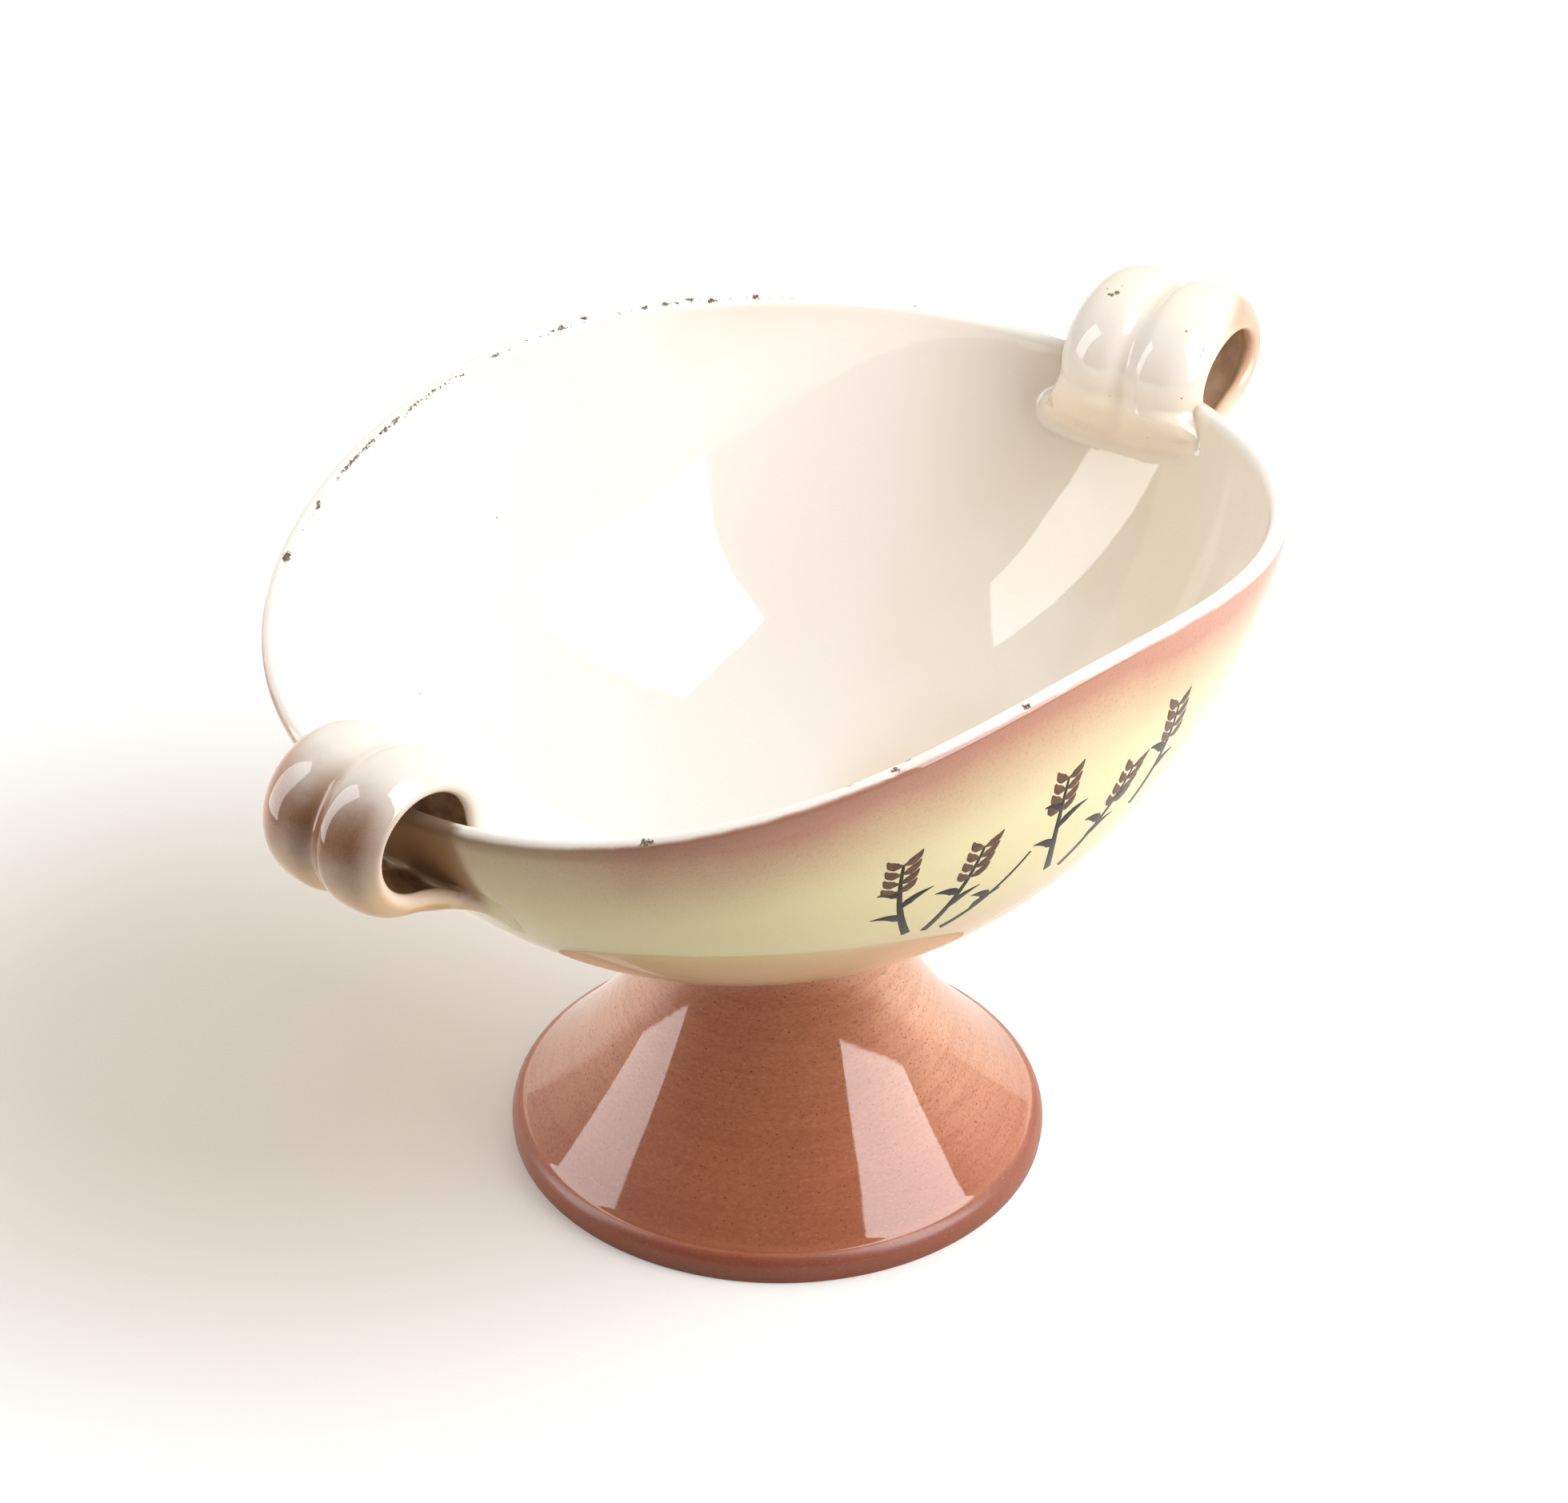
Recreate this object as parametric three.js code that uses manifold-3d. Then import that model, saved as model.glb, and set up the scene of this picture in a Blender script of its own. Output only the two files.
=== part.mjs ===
// Two-handled oval bowl on a flared foot, in glazed earthenware.
// Millimetres, +Z up. The bowl's long axis, with a handle at each end, runs along X.
// Everything is drawn round the upright axis of the foot, and at the end the whole is moved
// so that the origin lies on the table under the middle of its length over the handles.
import * as THREE from 'three';
import { mergeVertices } from 'three/addons/utils/BufferGeometryUtils.js';
import Module from 'manifold-3d';

const wasm = await Module();
wasm.setup();

// Driving dimensions of the bowl
const bowlLength = 262.6;        // over the wall at the rim, along X
const bowlWidth = 199.6;         // over the wall at the rim, along Y
const rimEndHeight = 160;        // table to the top of the rim at the two handles
const rimSideHeight = 181;       // table to the top of the rim halfway between them
const bowlBottom = 72.3;         // table to the lowest point of the bowl's outside
const bowlWall = 4.4;
const bellyFullness = 1.557;     // how soon the wall turns upright on its way to the rim
const bottomRoundness = 2.386;   // how flat the bottom is
const ovalGrowth = 1.409;        // how late the round bottom turns into the oval rim

// Driving dimensions of the foot
const footRadius = 66;           // at the fullest place of the band on the table
const bandHeight = 7;            // the upright band round the foot's lower edge
const bandTopRadius = 63.7;      // at the edge where the band meets the flare
const bandBevel = 0.6;           // small round between the band and the standing face
const bandSwell = 0.3;           // how far the band's middle stands out past its lower edge
const bandFullest = 0.45;        // share of the band's height where it is fullest
const bandTurn = 0.8;            // and where it turns in to the flare
const standingWidth = 6;         // of the flat ring that the foot stands on
const neckRadius = 25;           // that the flare closes in on
const flareEnd = 84;             // height at which the flare would be upright
const flareCurve = 2;            // power of the flare's curve
const footWall = 5;

// Slip, the liquid clay that the pieces were luted together with
const clearance = 0.3;           // left between neighbouring pieces
const slipThickness = 1.2;       // between the foot's top and the bowl
const slipReach = 5;             // of the fillet round the foot's neck
const slipEdge = 0.5;            // thickness of the fillet at its two thin edges
const beadWidth = 1.5;           // of the bead that was squeezed out round a handle's root
const beadHeight = 2;
const innerBeadLength = 13;      // of strap that the bead inside the bowl can follow
const outerBeadLength = 25;      // and the bead outside

// The strap that both handles were cut from
const strapThickness = 4;
const strapRootThickness = 2.8;  // where the end was thumbed down on the wall
const strapFlare = 3.6;          // how much wider each edge gets at the roots
const grooveDepth = 2.2;         // of the groove along the middle of the strap
const grooveWidth = 7;
const crownSquareness = 6;       // power of the crown's curve towards the strap's edges
const rootBlend = 16;            // length of strap over which a root follows the wall
const innerFade = 10;            // length of strap over which its swell fades at the inner root
const outerFade = 20;            // and at the outer root
const rootPull = 0.45;           // how stiffly the strap bends from its loop into a root
const loopStart = 185;           // degrees round the loop where the strap comes up from inside
const loopEnd = -75;             // and where it leaves for the outside of the wall

// Each strap was rolled and set on by hand, so the two differ a little.
// seat and turn, in degrees, place it round the bowl and about its own upright axis.
// reach and rise place the middle of the loop from the rim's end, halfLength and
// halfHeight are the loop's to the middle of the strap, and lean, in degrees, tips it.
// crown is the swell of the strap between its edges, and edge how far these stand off.
// innerDepth and outerDepth are the depths of the two roots below the rim, at the middle of
// the strap. Their ends were cut round: innerRound and outerRound are the curves' strengths
// in 1/mm, and innerLowest and outerLowest their lowest places, from the strap's middle.
const handles = {
  handle_right: {
    seat: 2.6, turn: 12.9, width: 38.8, crown: 6, edge: 0.4,
    reach: 7.3, rise: 1.8, halfLength: 15.2, halfHeight: 10.8, lean: 1,
    innerDepth: 14, innerRound: 0.006, innerLowest: 13,
    outerDepth: 24, outerRound: 0.004, outerLowest: 0,
  },
  handle_left: {
    seat: 182.6, turn: 3.1, width: 34.7, crown: 3.8, edge: 0,
    reach: 0.7, rise: -3.4, halfLength: 16.5, halfHeight: 14.2, lean: 25,
    innerDepth: 16, innerRound: 0.004, innerLowest: 0,
    outerDepth: 32, outerRound: 0.006, outerLowest: -6,
  },
};

// Facets
const bowlSegments = 72;
const outerRings = 15;
const innerRings = 12;
const lipSteps = 3;
const footSegments = 48;
const flareSteps = 7;
const strapStations = 24;
const strapFacets = 12;
const loopSteps = 24;

const lipRadius = bowlWall / 2;
const meanRadius = (bowlLength + bowlWidth) / 4;
const ovalRadius = (bowlLength - bowlWidth) / 4;
const degrees = Math.PI / 180;

// A closed mesh of rings of points, each ring with as many points as the next,
// and one point to close it at either end
function skin(rings, first, last) {
  const count = rings[0].length;
  const positions = rings.flat().flatMap((p) => [p.x, p.y, p.z]);
  positions.push(first.x, first.y, first.z, last.x, last.y, last.z);
  const start = rings.length * count;
  const index = [];
  for (let i = 0; i < count; i++) {
    const j = (i + 1) % count;
    index.push(start, j, i);
    for (let ring = 0; ring < rings.length - 1; ring++) {
      const low = ring * count;
      const high = low + count;
      index.push(low + i, low + j, high + j, low + i, high + j, high + i);
    }
    const top = (rings.length - 1) * count;
    index.push(top + i, top + j, start + 1);
  }
  const geometry = new THREE.BufferGeometry();
  geometry.setAttribute('position', new THREE.Float32BufferAttribute(positions, 3));
  geometry.setIndex(index);
  return geometry;
}

function toSolid(geometry) {
  const bare = geometry.clone();
  bare.deleteAttribute('normal');
  bare.deleteAttribute('uv');
  const merged = mergeVertices(bare, 1e-4);
  const mesh = new wasm.Mesh({
    numProp: 3,
    vertProperties: new Float32Array(merged.attributes.position.array),
    triVerts: new Uint32Array(merged.index.array),
  });
  return new wasm.Manifold(mesh);
}

// The largest body of a solid, so that no crumb of a cut stays behind
function mainBody(solid) {
  const bodies = solid.decompose();
  return bodies.reduce((a, b) => (b.volume() > a.volume() ? b : a));
}

function toGeometry(solid) {
  const mesh = solid.getMesh();
  const geometry = new THREE.BufferGeometry();
  geometry.setAttribute('position', new THREE.BufferAttribute(mesh.vertProperties, 3));
  geometry.setIndex(new THREE.BufferAttribute(mesh.triVerts, 1));
  geometry.computeVertexNormals();
  return geometry;
}

// Height at which the outer wall ends and the round lip begins
function wallTop(theta) {
  const mean = (rimEndHeight + rimSideHeight) / 2;
  const swing = (rimEndHeight - rimSideHeight) / 2;
  return mean + swing * Math.cos(2 * theta) - lipRadius;
}

// Radius of the outer wall where it has made a share of its rise
function wallRadius(theta, rise) {
  const fill = (1 - (1 - rise) ** bellyFullness) ** (1 / bottomRoundness);
  return meanRadius * fill + ovalRadius * Math.cos(2 * theta) * rise ** ovalGrowth;
}

// A point of the outer wall. Step goes from 0 in the middle of the bottom to 1 at the lip.
function wallPoint(theta, step) {
  const rise = step ** bottomRoundness;
  const radius = wallRadius(theta, rise);
  const z = bowlBottom + (wallTop(theta) - bowlBottom) * rise;
  return new THREE.Vector3(radius * Math.cos(theta), radius * Math.sin(theta), z);
}

// The outward normal of the wall and its direction up along the meridian
function wallFrame(theta, step) {
  const h = 1e-4;
  const low = wallPoint(theta, Math.max(step - h, 0));
  const high = wallPoint(theta, Math.min(step + h, 1));
  const up = high.sub(low).normalize();
  const round = wallPoint(theta + h, step).sub(wallPoint(theta - h, step)).normalize();
  return { up, normal: round.clone().cross(up).normalize() };
}

// The bowl, grown on every side by a margin
function bowlGeometry(margin = 0) {
  const rings = [];
  const angles = Array.from({ length: bowlSegments }, (_, i) => (i / bowlSegments) * 2 * Math.PI);
  const layer = (step, depth) => angles.map((theta) => {
    const { normal } = wallFrame(theta, step);
    return wallPoint(theta, step).addScaledVector(normal, -depth);
  });
  for (let i = 1; i <= outerRings; i++) rings.push(layer(i / outerRings, -margin));
  for (let i = 1; i < 2 * lipSteps; i++) {
    const turn = (i / (2 * lipSteps)) * Math.PI;
    rings.push(angles.map((theta) => {
      const { up, normal } = wallFrame(theta, 1);
      const reach = lipRadius + margin;
      return wallPoint(theta, 1)
        .addScaledVector(normal, reach * Math.cos(turn) - lipRadius)
        .addScaledVector(up, reach * Math.sin(turn));
    }));
  }
  for (let i = innerRings; i >= 1; i--) rings.push(layer(i / innerRings, bowlWall + margin));
  const underside = new THREE.Vector3(0, 0, bowlBottom - margin);
  const inside = new THREE.Vector3(0, 0, bowlBottom + bowlWall + margin);
  return skin(rings, underside, inside);
}

// Height of the bowl's underside at a radius near its middle
function undersideHeight(radius) {
  const rise = 1 - (1 - (radius / meanRadius) ** bottomRoundness) ** (1 / bellyFullness);
  return bowlBottom + (wallTop(Math.PI / 4) - bowlBottom) * rise;
}

// The flare's outline in the plane of radius and height, at a height
function flarePoint(z, depth = 0) {
  const span = flareEnd - bandHeight;
  const share = 1 - (z - bandHeight) / span;
  const radius = neckRadius + (bandTopRadius - neckRadius) * share ** flareCurve;
  const slope = (-flareCurve * (bandTopRadius - neckRadius) * share ** (flareCurve - 1)) / span;
  const length = Math.hypot(1, slope);
  return new THREE.Vector2(radius - depth / length, z + (depth * slope) / length);
}

const topRadius = flarePoint(bowlBottom).x;
const footTop = undersideHeight(topRadius - footWall) - slipThickness - 2 * clearance;

function footGeometry() {
  const outline = [new THREE.Vector2(footRadius - standingWidth, 0)];
  outline.push(new THREE.Vector2(footRadius - bandSwell - bandBevel, 0));
  outline.push(new THREE.Vector2(footRadius - bandSwell, bandBevel));
  outline.push(new THREE.Vector2(footRadius, bandHeight * bandFullest));
  outline.push(new THREE.Vector2((footRadius * 2 + bandTopRadius) / 3, bandHeight * bandTurn));
  for (let i = 0; i <= flareSteps; i++) {
    outline.push(flarePoint(bandHeight + ((footTop - bandHeight) * i) / flareSteps));
  }
  for (let i = flareSteps; i >= 0; i--) {
    const z = bandHeight + ((footTop - bandHeight) * i) / flareSteps;
    const point = flarePoint(z, footWall);
    if (i === flareSteps) point.y = footTop;
    outline.push(point);
  }
  outline.push(outline[0].clone());
  return new THREE.LatheGeometry(outline, footSegments).rotateX(Math.PI / 2);
}

// The slip between the foot's top and the bowl, with its fillet round the neck
function footSlipGeometry() {
  const inner = flarePoint(footTop, footWall).x;
  const neck = flarePoint(footTop).x;
  const outer = neck + slipReach;
  const under = (radius) => undersideHeight(radius) - clearance;
  const low = footTop - slipReach;
  const outline = [new THREE.Vector2(inner, footTop + clearance)];
  outline.push(new THREE.Vector2(neck + clearance, footTop + clearance));
  outline.push(new THREE.Vector2(flarePoint(low).x + clearance, low));
  const start = new THREE.Vector2(flarePoint(low).x + clearance + slipEdge, low);
  const end = new THREE.Vector2(outer, under(outer) - slipEdge);
  const fillet = new THREE.QuadraticBezierCurve(start, new THREE.Vector2(start.x, end.y), end);
  outline.push(...fillet.getPoints(4));
  outline.push(new THREE.Vector2(outer, under(outer)));
  outline.push(new THREE.Vector2((outer + inner) / 2, under((outer + inner) / 2)));
  outline.push(new THREE.Vector2(inner, under(inner)));
  outline.push(outline[0].clone());
  return new THREE.LatheGeometry(outline, footSegments).rotateX(Math.PI / 2);
}

// How far a point lies outside the outer wall, measured square to the upright axis
function outsideWall(point) {
  const theta = Math.atan2(point.y, point.x);
  const rise = (point.z - bowlBottom) / (wallTop(theta) - bowlBottom);
  const capped = Math.min(Math.max(rise, 0), 1);
  return Math.hypot(point.x, point.y) - wallRadius(theta, capped);
}

// A point of a handle's own frame, outward from the rim's end, along the rim and up
function seated(spec, outward, along, z) {
  const turned = new THREE.Vector2(outward, along).rotateAround(new THREE.Vector2(), spec.turn * degrees);
  const placed = new THREE.Vector2(turned.x + bowlLength / 2, turned.y)
    .rotateAround(new THREE.Vector2(), spec.seat * degrees);
  return new THREE.Vector3(placed.x, placed.y, z);
}

// How far outward the middle of the wall lies at a place along the rim and a height
function wallOutward(spec, along, z) {
  let low = -bowlLength / 4;
  let high = bowlLength / 4;
  for (let i = 0; i < 30; i++) {
    const middle = (low + high) / 2;
    if (outsideWall(seated(spec, middle, along, z)) > -bowlWall / 2) high = middle;
    else low = middle;
  }
  return (low + high) / 2;
}

// How a root, inner or outer, shifts up and outward along the rim, so that its round end
// lies on the wall
function rootOf(spec, which) {
  const z = rimEndHeight - spec[`${which}Depth`];
  const lowest = spec[`${which}Lowest`];
  const lift = (along) => spec[`${which}Round`] * ((along - lowest) ** 2 - lowest ** 2);
  const follow = (along) => wallOutward(spec, along, z + lift(along)) - wallOutward(spec, 0, z);
  return { lift, follow };
}

// The middle line of a strap in the plane of outward and up, from its root inside
// the bowl over the rim to its root outside
function strapPath(spec) {
  const centre = new THREE.Vector2(spec.reach, rimEndHeight + spec.rise);
  const tilt = spec.lean * degrees;
  const onLoop = (angle) => new THREE.Vector2(
    spec.halfLength * Math.cos(angle),
    spec.halfHeight * Math.sin(angle),
  ).rotateAround(new THREE.Vector2(), tilt).add(centre);
  const rootAt = (depth) => {
    const z = rimEndHeight - depth;
    return new THREE.Vector2(wallOutward(spec, 0, z), z);
  };
  const inner = rootAt(spec.innerDepth);
  const outer = rootAt(spec.outerDepth);
  const leave = loopStart * degrees - tilt;
  const arrive = loopEnd * degrees - tilt;
  const loop = [];
  for (let i = 0; i <= loopSteps; i++) {
    loop.push(onLoop(leave + ((arrive - leave) * i) / loopSteps));
  }
  const stretch = (a, b) => a.distanceTo(b) * rootPull;
  const firstDirection = loop[1].clone().sub(loop[0]).normalize();
  const lastDirection = loop[loopSteps].clone().sub(loop[loopSteps - 1]).normalize();
  const intoBowl = new THREE.Vector2(-0.9, 0.44);
  const downWall = new THREE.Vector2(-0.8, -0.6);
  const first = new THREE.CubicBezierCurve(
    inner,
    inner.clone().addScaledVector(intoBowl, stretch(inner, loop[0])),
    loop[0].clone().addScaledVector(firstDirection, -stretch(inner, loop[0])),
    loop[0],
  );
  const last = new THREE.CubicBezierCurve(
    loop[loopSteps],
    loop[loopSteps].clone().addScaledVector(lastDirection, stretch(outer, loop[loopSteps])),
    outer.clone().addScaledVector(downWall, -stretch(outer, loop[loopSteps])),
    outer,
  );
  const path = new THREE.CurvePath();
  path.add(first);
  path.add(new THREE.SplineCurve(loop));
  path.add(last);
  return path;
}

// The strap of a handle, grown by a margin, over a share of its length
function strapGeometry(spec, margin = 0, from = 0, to = 1) {
  const path = strapPath(spec);
  const length = path.getLength();
  const stations = Math.max(8, Math.round(strapStations * (to - from)));
  const fade = (distance, blend) => 1 - THREE.MathUtils.smoothstep(distance, 0, blend);
  const rings = [];
  for (let i = 0; i <= stations; i++) {
    const share = from + ((to - from) * i) / stations;
    const root = rootOf(spec, share < 0.5 ? 'inner' : 'outer');
    const point = path.getPointAt(share);
    const tangent = path.getTangentAt(share);
    const normal = new THREE.Vector2(-tangent.y, tangent.x);
    const distance = Math.min(share, 1 - share) * length;
    const rootness = fade(distance, rootBlend);
    const flatness = fade(distance, share < 0.5 ? innerFade : outerFade);
    const thick = THREE.MathUtils.lerp(strapThickness, strapRootThickness, flatness) / 2 + margin;
    const flat = (spec.width - strapThickness) / 2 + strapFlare * rootness;
    const swell = (1 - flatness) * (spec.crown - spec.edge);
    const groove = (v) => (1 - flatness) * grooveDepth
      * Math.exp(-(((v * spec.width) / grooveWidth) ** 2));
    const ring = [];
    // A point at a place v across, from -1 to 1, and turned by an angle about the strap's
    // middle surface, where a quarter turn is on the side away from the loop
    const place = (v, turn) => {
      const steepness = crownSquareness * Math.sign(v) * Math.abs(v) ** (crownSquareness - 1);
      const angle = turn - Math.atan((swell * steepness) / flat);
      const along = v * flat + thick * Math.cos(angle);
      const off = (1 - flatness) * spec.edge + swell * (1 - Math.abs(v) ** crownSquareness)
        - groove(v) + thick * Math.sin(angle);
      const spot = point.clone().addScaledVector(normal, off);
      const outward = spot.x + rootness * root.follow(along);
      ring.push(seated(spec, outward, along, spot.y + rootness * root.lift(along)));
    };
    for (const side of [1, -1]) {
      const quarter = (side * Math.PI) / 2;
      for (let k = 0; k <= strapFacets; k++) {
        place(side * Math.sin((Math.PI / 2) * (1 - (2 * k) / strapFacets)), quarter);
      }
      for (const step of [1, 2]) place(-side, quarter + (step * Math.PI) / 3);
    }
    rings.push(ring);
  }
  const middle = (ring) => {
    const half = Math.floor(strapFacets / 2);
    return ring[half].clone().add(ring[strapFacets + 3 + half]).multiplyScalar(0.5);
  };
  return skin(rings, middle(rings[0]), middle(rings[stations]));
}

const bowlCut = toSolid(bowlGeometry(clearance));
const bowlSkin = toSolid(bowlGeometry(clearance + beadHeight)).subtract(bowlCut);

function handleGeometry(spec) {
  return toGeometry(mainBody(toSolid(strapGeometry(spec)).subtract(bowlCut)));
}

// The bead of slip round a handle's root, inner or outer, where it was pressed on the wall
function beadGeometry(spec, which) {
  const length = strapPath(spec).getLength();
  const [from, to] = which === 'inner' ? [0, innerBeadLength / length] : [1 - outerBeadLength / length, 1];
  const fat = toSolid(strapGeometry(spec, clearance + beadWidth, from, to));
  const strap = toSolid(strapGeometry(spec, clearance));
  return toGeometry(mainBody(fat.intersect(bowlSkin).subtract(strap)));
}

const finishes = {
  ivory: { color: 0xf3e9d6, roughness: 0.18 },
  blush: { color: 0xdcae95, roughness: 0.18 },
  terracotta: { color: 0xa9674f, roughness: 0.22 },
  slip: { color: 0xe6d2b8, roughness: 0.25 },
};

function mesh(name, geometry, finish) {
  const material = new THREE.MeshStandardMaterial({ ...finishes[finish], metalness: 0 });
  const piece = new THREE.Mesh(geometry, material);
  piece.name = name;
  return piece;
}

const cup = new THREE.Group();
cup.add(mesh('bowl', bowlGeometry(), 'ivory'));
cup.add(mesh('foot', footGeometry(), 'terracotta'));
cup.add(mesh('foot_slip_ring', footSlipGeometry(), 'slip'));
for (const [name, spec] of Object.entries(handles)) {
  cup.add(mesh(name, handleGeometry(spec), 'blush'));
  cup.add(mesh(`${name}_inner_slip`, beadGeometry(spec, 'inner'), 'slip'));
  cup.add(mesh(`${name}_outer_slip`, beadGeometry(spec, 'outer'), 'slip'));
}

const extent = new THREE.Box3().setFromObject(cup);
cup.position.x = -extent.getCenter(new THREE.Vector3()).x;

export default cup;
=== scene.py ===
import math

import bpy
import numpy as np
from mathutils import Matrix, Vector


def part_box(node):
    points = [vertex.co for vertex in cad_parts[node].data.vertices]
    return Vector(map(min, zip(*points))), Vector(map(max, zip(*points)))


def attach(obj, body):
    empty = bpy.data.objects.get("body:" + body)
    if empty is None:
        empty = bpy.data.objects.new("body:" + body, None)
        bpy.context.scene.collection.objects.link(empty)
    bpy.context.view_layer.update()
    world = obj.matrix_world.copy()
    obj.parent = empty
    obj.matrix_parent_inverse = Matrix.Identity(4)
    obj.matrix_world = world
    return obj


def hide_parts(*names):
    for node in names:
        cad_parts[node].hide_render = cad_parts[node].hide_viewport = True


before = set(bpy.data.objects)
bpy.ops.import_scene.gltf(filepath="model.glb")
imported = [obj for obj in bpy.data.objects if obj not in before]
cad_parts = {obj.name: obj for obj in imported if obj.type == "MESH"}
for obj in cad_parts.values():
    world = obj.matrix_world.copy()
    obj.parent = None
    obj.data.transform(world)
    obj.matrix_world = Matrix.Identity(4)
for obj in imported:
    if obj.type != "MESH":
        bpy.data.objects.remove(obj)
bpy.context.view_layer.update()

MM = 0.001
foot_low, foot_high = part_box("foot")
AXIS = np.array([(foot_low.x + foot_high.x) / 2, (foot_low.y + foot_high.y) / 2, 0]) / MM

# Bowl
BOWL_LENGTH = 262.6
BOWL_WIDTH = 199.6
RIM_END_HEIGHT = 160
RIM_SIDE_HEIGHT = 181
BOWL_BOTTOM = 72.3
BOWL_WALL = 4.4
BELLY_FULLNESS = 1.557
BOTTOM_ROUNDNESS = 2.386
OVAL_GROWTH = 1.409
LIP_RADIUS = BOWL_WALL / 2
MEAN_RADIUS = (BOWL_LENGTH + BOWL_WIDTH) / 4
OVAL_RADIUS = (BOWL_LENGTH - BOWL_WIDTH) / 4

# Foot
FOOT_RADIUS = 66
BAND_HEIGHT = 7
BAND_TOP_RADIUS = 63.7
BAND_BEVEL = 0.6
BAND_SWELL = 0.3
STANDING_WIDTH = 6
NECK_RADIUS = 25
FLARE_END = 84
FLARE_CURVE = 2
FOOT_WALL = 5
NECK_FILLET = 6.5
NECK_SLIP_SINK = 3
INTO_CLAY = 1.2
FOOT_GAP = 0.6

# The strap of the handles
STRAP_THICKNESS = 4
STRAP_ROOT_THICKNESS = 2.8
STRAP_FLARE = 3.6
GROOVE_DEPTH = 2.2
GROOVE_WIDTH = 7
CROWN_SQUARENESS = 6
ROOT_BLEND = 16
INNER_FADE = 10
OUTER_FADE = 20
ROOT_PULL = 0.45
INTO_BOWL = np.array([-0.9, 0.44])
DOWN_WALL = np.array([-0.8, -0.6])
LOOP_START = math.radians(185)
LOOP_END = math.radians(-75)

# Each handle: its seat round the rim and its turn there in degrees, how far the lobes stand
# off the path in their middle and at the edge, and where the loop lies, its size and its lean
HANDLES = {
    "handle_right": dict(
        seat=2.6, turn=12.9, width=38.8, crown=6, edge=0.4, reach=7.3, rise=1.8,
        half_length=15.2, half_height=10.8, lean=1, inner_depth=14, outer_depth=24,
        inner_round=0.006, inner_middle=13, outer_round=0.004, outer_middle=0,
    ),
    "handle_left": dict(
        seat=182.6, turn=3.1, width=34.7, crown=3.8, edge=0, reach=0.7, rise=-3.4,
        half_length=16.5, half_height=14.2, lean=25, inner_depth=16, outer_depth=32,
        inner_round=0.004, inner_middle=0, outer_round=0.006, outer_middle=-6,
    ),
}

# Slip round the roots of the handles, as a smooth blend of strap and wall
SLIP_BLEND = 5.5
SLIP_LENGTH = 9
SLIP_RUNOUT = 9
SLIP_TOP = 0.94
SLIP_TOP_FADE = 0.04
SLIP_EXTENT = 0.98
SLIP_BITE = 0.6
SLIP_SINK = 0.015
SLIP_GRID = 0.55
SLIP_MOVE = 0.3
SLIP_SLOPE_STEP = 0.3
ROOT_REACH = 26
# The share of the reach that the slip's net spans, and the shares of the blend that lie near
# enough to the wall for it and in which the strap's glaze passes over into the wall's
NET_SHARE = 0.7
SLIP_NEAR = 1.6
SLIP_MIXED = 1.2

# Glaze
GLAZE_IOR = 1.7
ENAMEL_IOR = 1.4
GLOSS = 0.04
TUNNEL_DULL = 0.4
SPRAY_DEPTH = 38
SPRAY_SHARE = 0.82
SPRAY_FADE = 5

# Chips in the glaze of the rim: angle, depth under the crest, and size. They are longer along
# the rim than they are deep
CHIP_SEED = 5
CHIP_DEPTH = 0.25
CHIP_LENGTH = 1.4
CHIPS = [
    (139.5, -0.6, 1.3), (130, -1.2, 1), (80, -1.2, 0.9), (75.5, -0.2, 0.9), (66, -1.2, 0.7),
    (62.5, -0.8, 0.8), (59, -0.2, 0.9), (56, -1.4, 1), (50, -0.8, 0.9), (30.5, 0.2, 0.6),
    (-101.5, 1.4, 0.9), (-118.5, -0.8, 0.7), (-120.5, 0.8, 0.9), (-126, -1.2, 1),
    (-128.5, -3, 1), (-136, -3, 0.8), (-148, 1.2, 1.2),
]
# Stretches of rim with a row of small flakes: from and to an angle, and how many there are
CHIP_ROWS = [(96, 127, 0.95), (127, 141, 0.6), (74, 96, 0.66), (40, 74, 0.5), (-150, -95, 0.42)]
CHIP_ROW_DEPTH = -1.2
CHIP_ROW_SPREAD = 0.7
CHIP_ROW_FADE = 3

# How finely the shapes are drawn. Steps up the wall run from 0 to 1: TINY is the one for its
# slopes, and the rows lie closer from RIM_STEP on
TINY = 1e-4
STEP_LIMITS = (0.15, 0.998)
RIM_STEP = 0.88
BELLY_ROWS = 61
RIM_ROWS = 35
LOOP_POINTS = 400
ROOT_POINTS = 120
ROOT_KNOTS = 41
PATH_STEP = 0.2
BOWL_SEGMENTS = 840
FOOT_SEGMENTS = 360
LIP_ROWS = 14
STRAP_STATIONS = 150
STRAP_STEPS = 52
STRAP_LIP_STEPS = 10


def wall_top(theta):
    """Height at which the outer wall ends and the round lip begins."""
    mean = (RIM_END_HEIGHT + RIM_SIDE_HEIGHT) / 2
    swing = (RIM_END_HEIGHT - RIM_SIDE_HEIGHT) / 2
    return mean + swing * np.cos(2 * theta) - LIP_RADIUS


def rise_at(theta, z):
    """The share of its rise that the wall has made at a height."""
    return (z - BOWL_BOTTOM) / (wall_top(theta) - BOWL_BOTTOM)


def wall_radius(theta, rise):
    """Radius of the outer wall where it has made a share of its rise."""
    fill = (1 - (1 - rise) ** BELLY_FULLNESS) ** (1 / BOTTOM_ROUNDNESS)
    return MEAN_RADIUS * fill + OVAL_RADIUS * np.cos(2 * theta) * rise ** OVAL_GROWTH


def wall_point(theta, step):
    """A point of the outer wall, with step from 0 in the middle of the bottom to 1 at the lip."""
    rise = step ** BOTTOM_ROUNDNESS
    radius = wall_radius(theta, rise)
    z = BOWL_BOTTOM + (wall_top(theta) - BOWL_BOTTOM) * rise
    return np.stack([radius * np.cos(theta), radius * np.sin(theta), z], -1)


def unit(vectors):
    return vectors / np.linalg.norm(vectors, axis=-1, keepdims=True)


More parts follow.
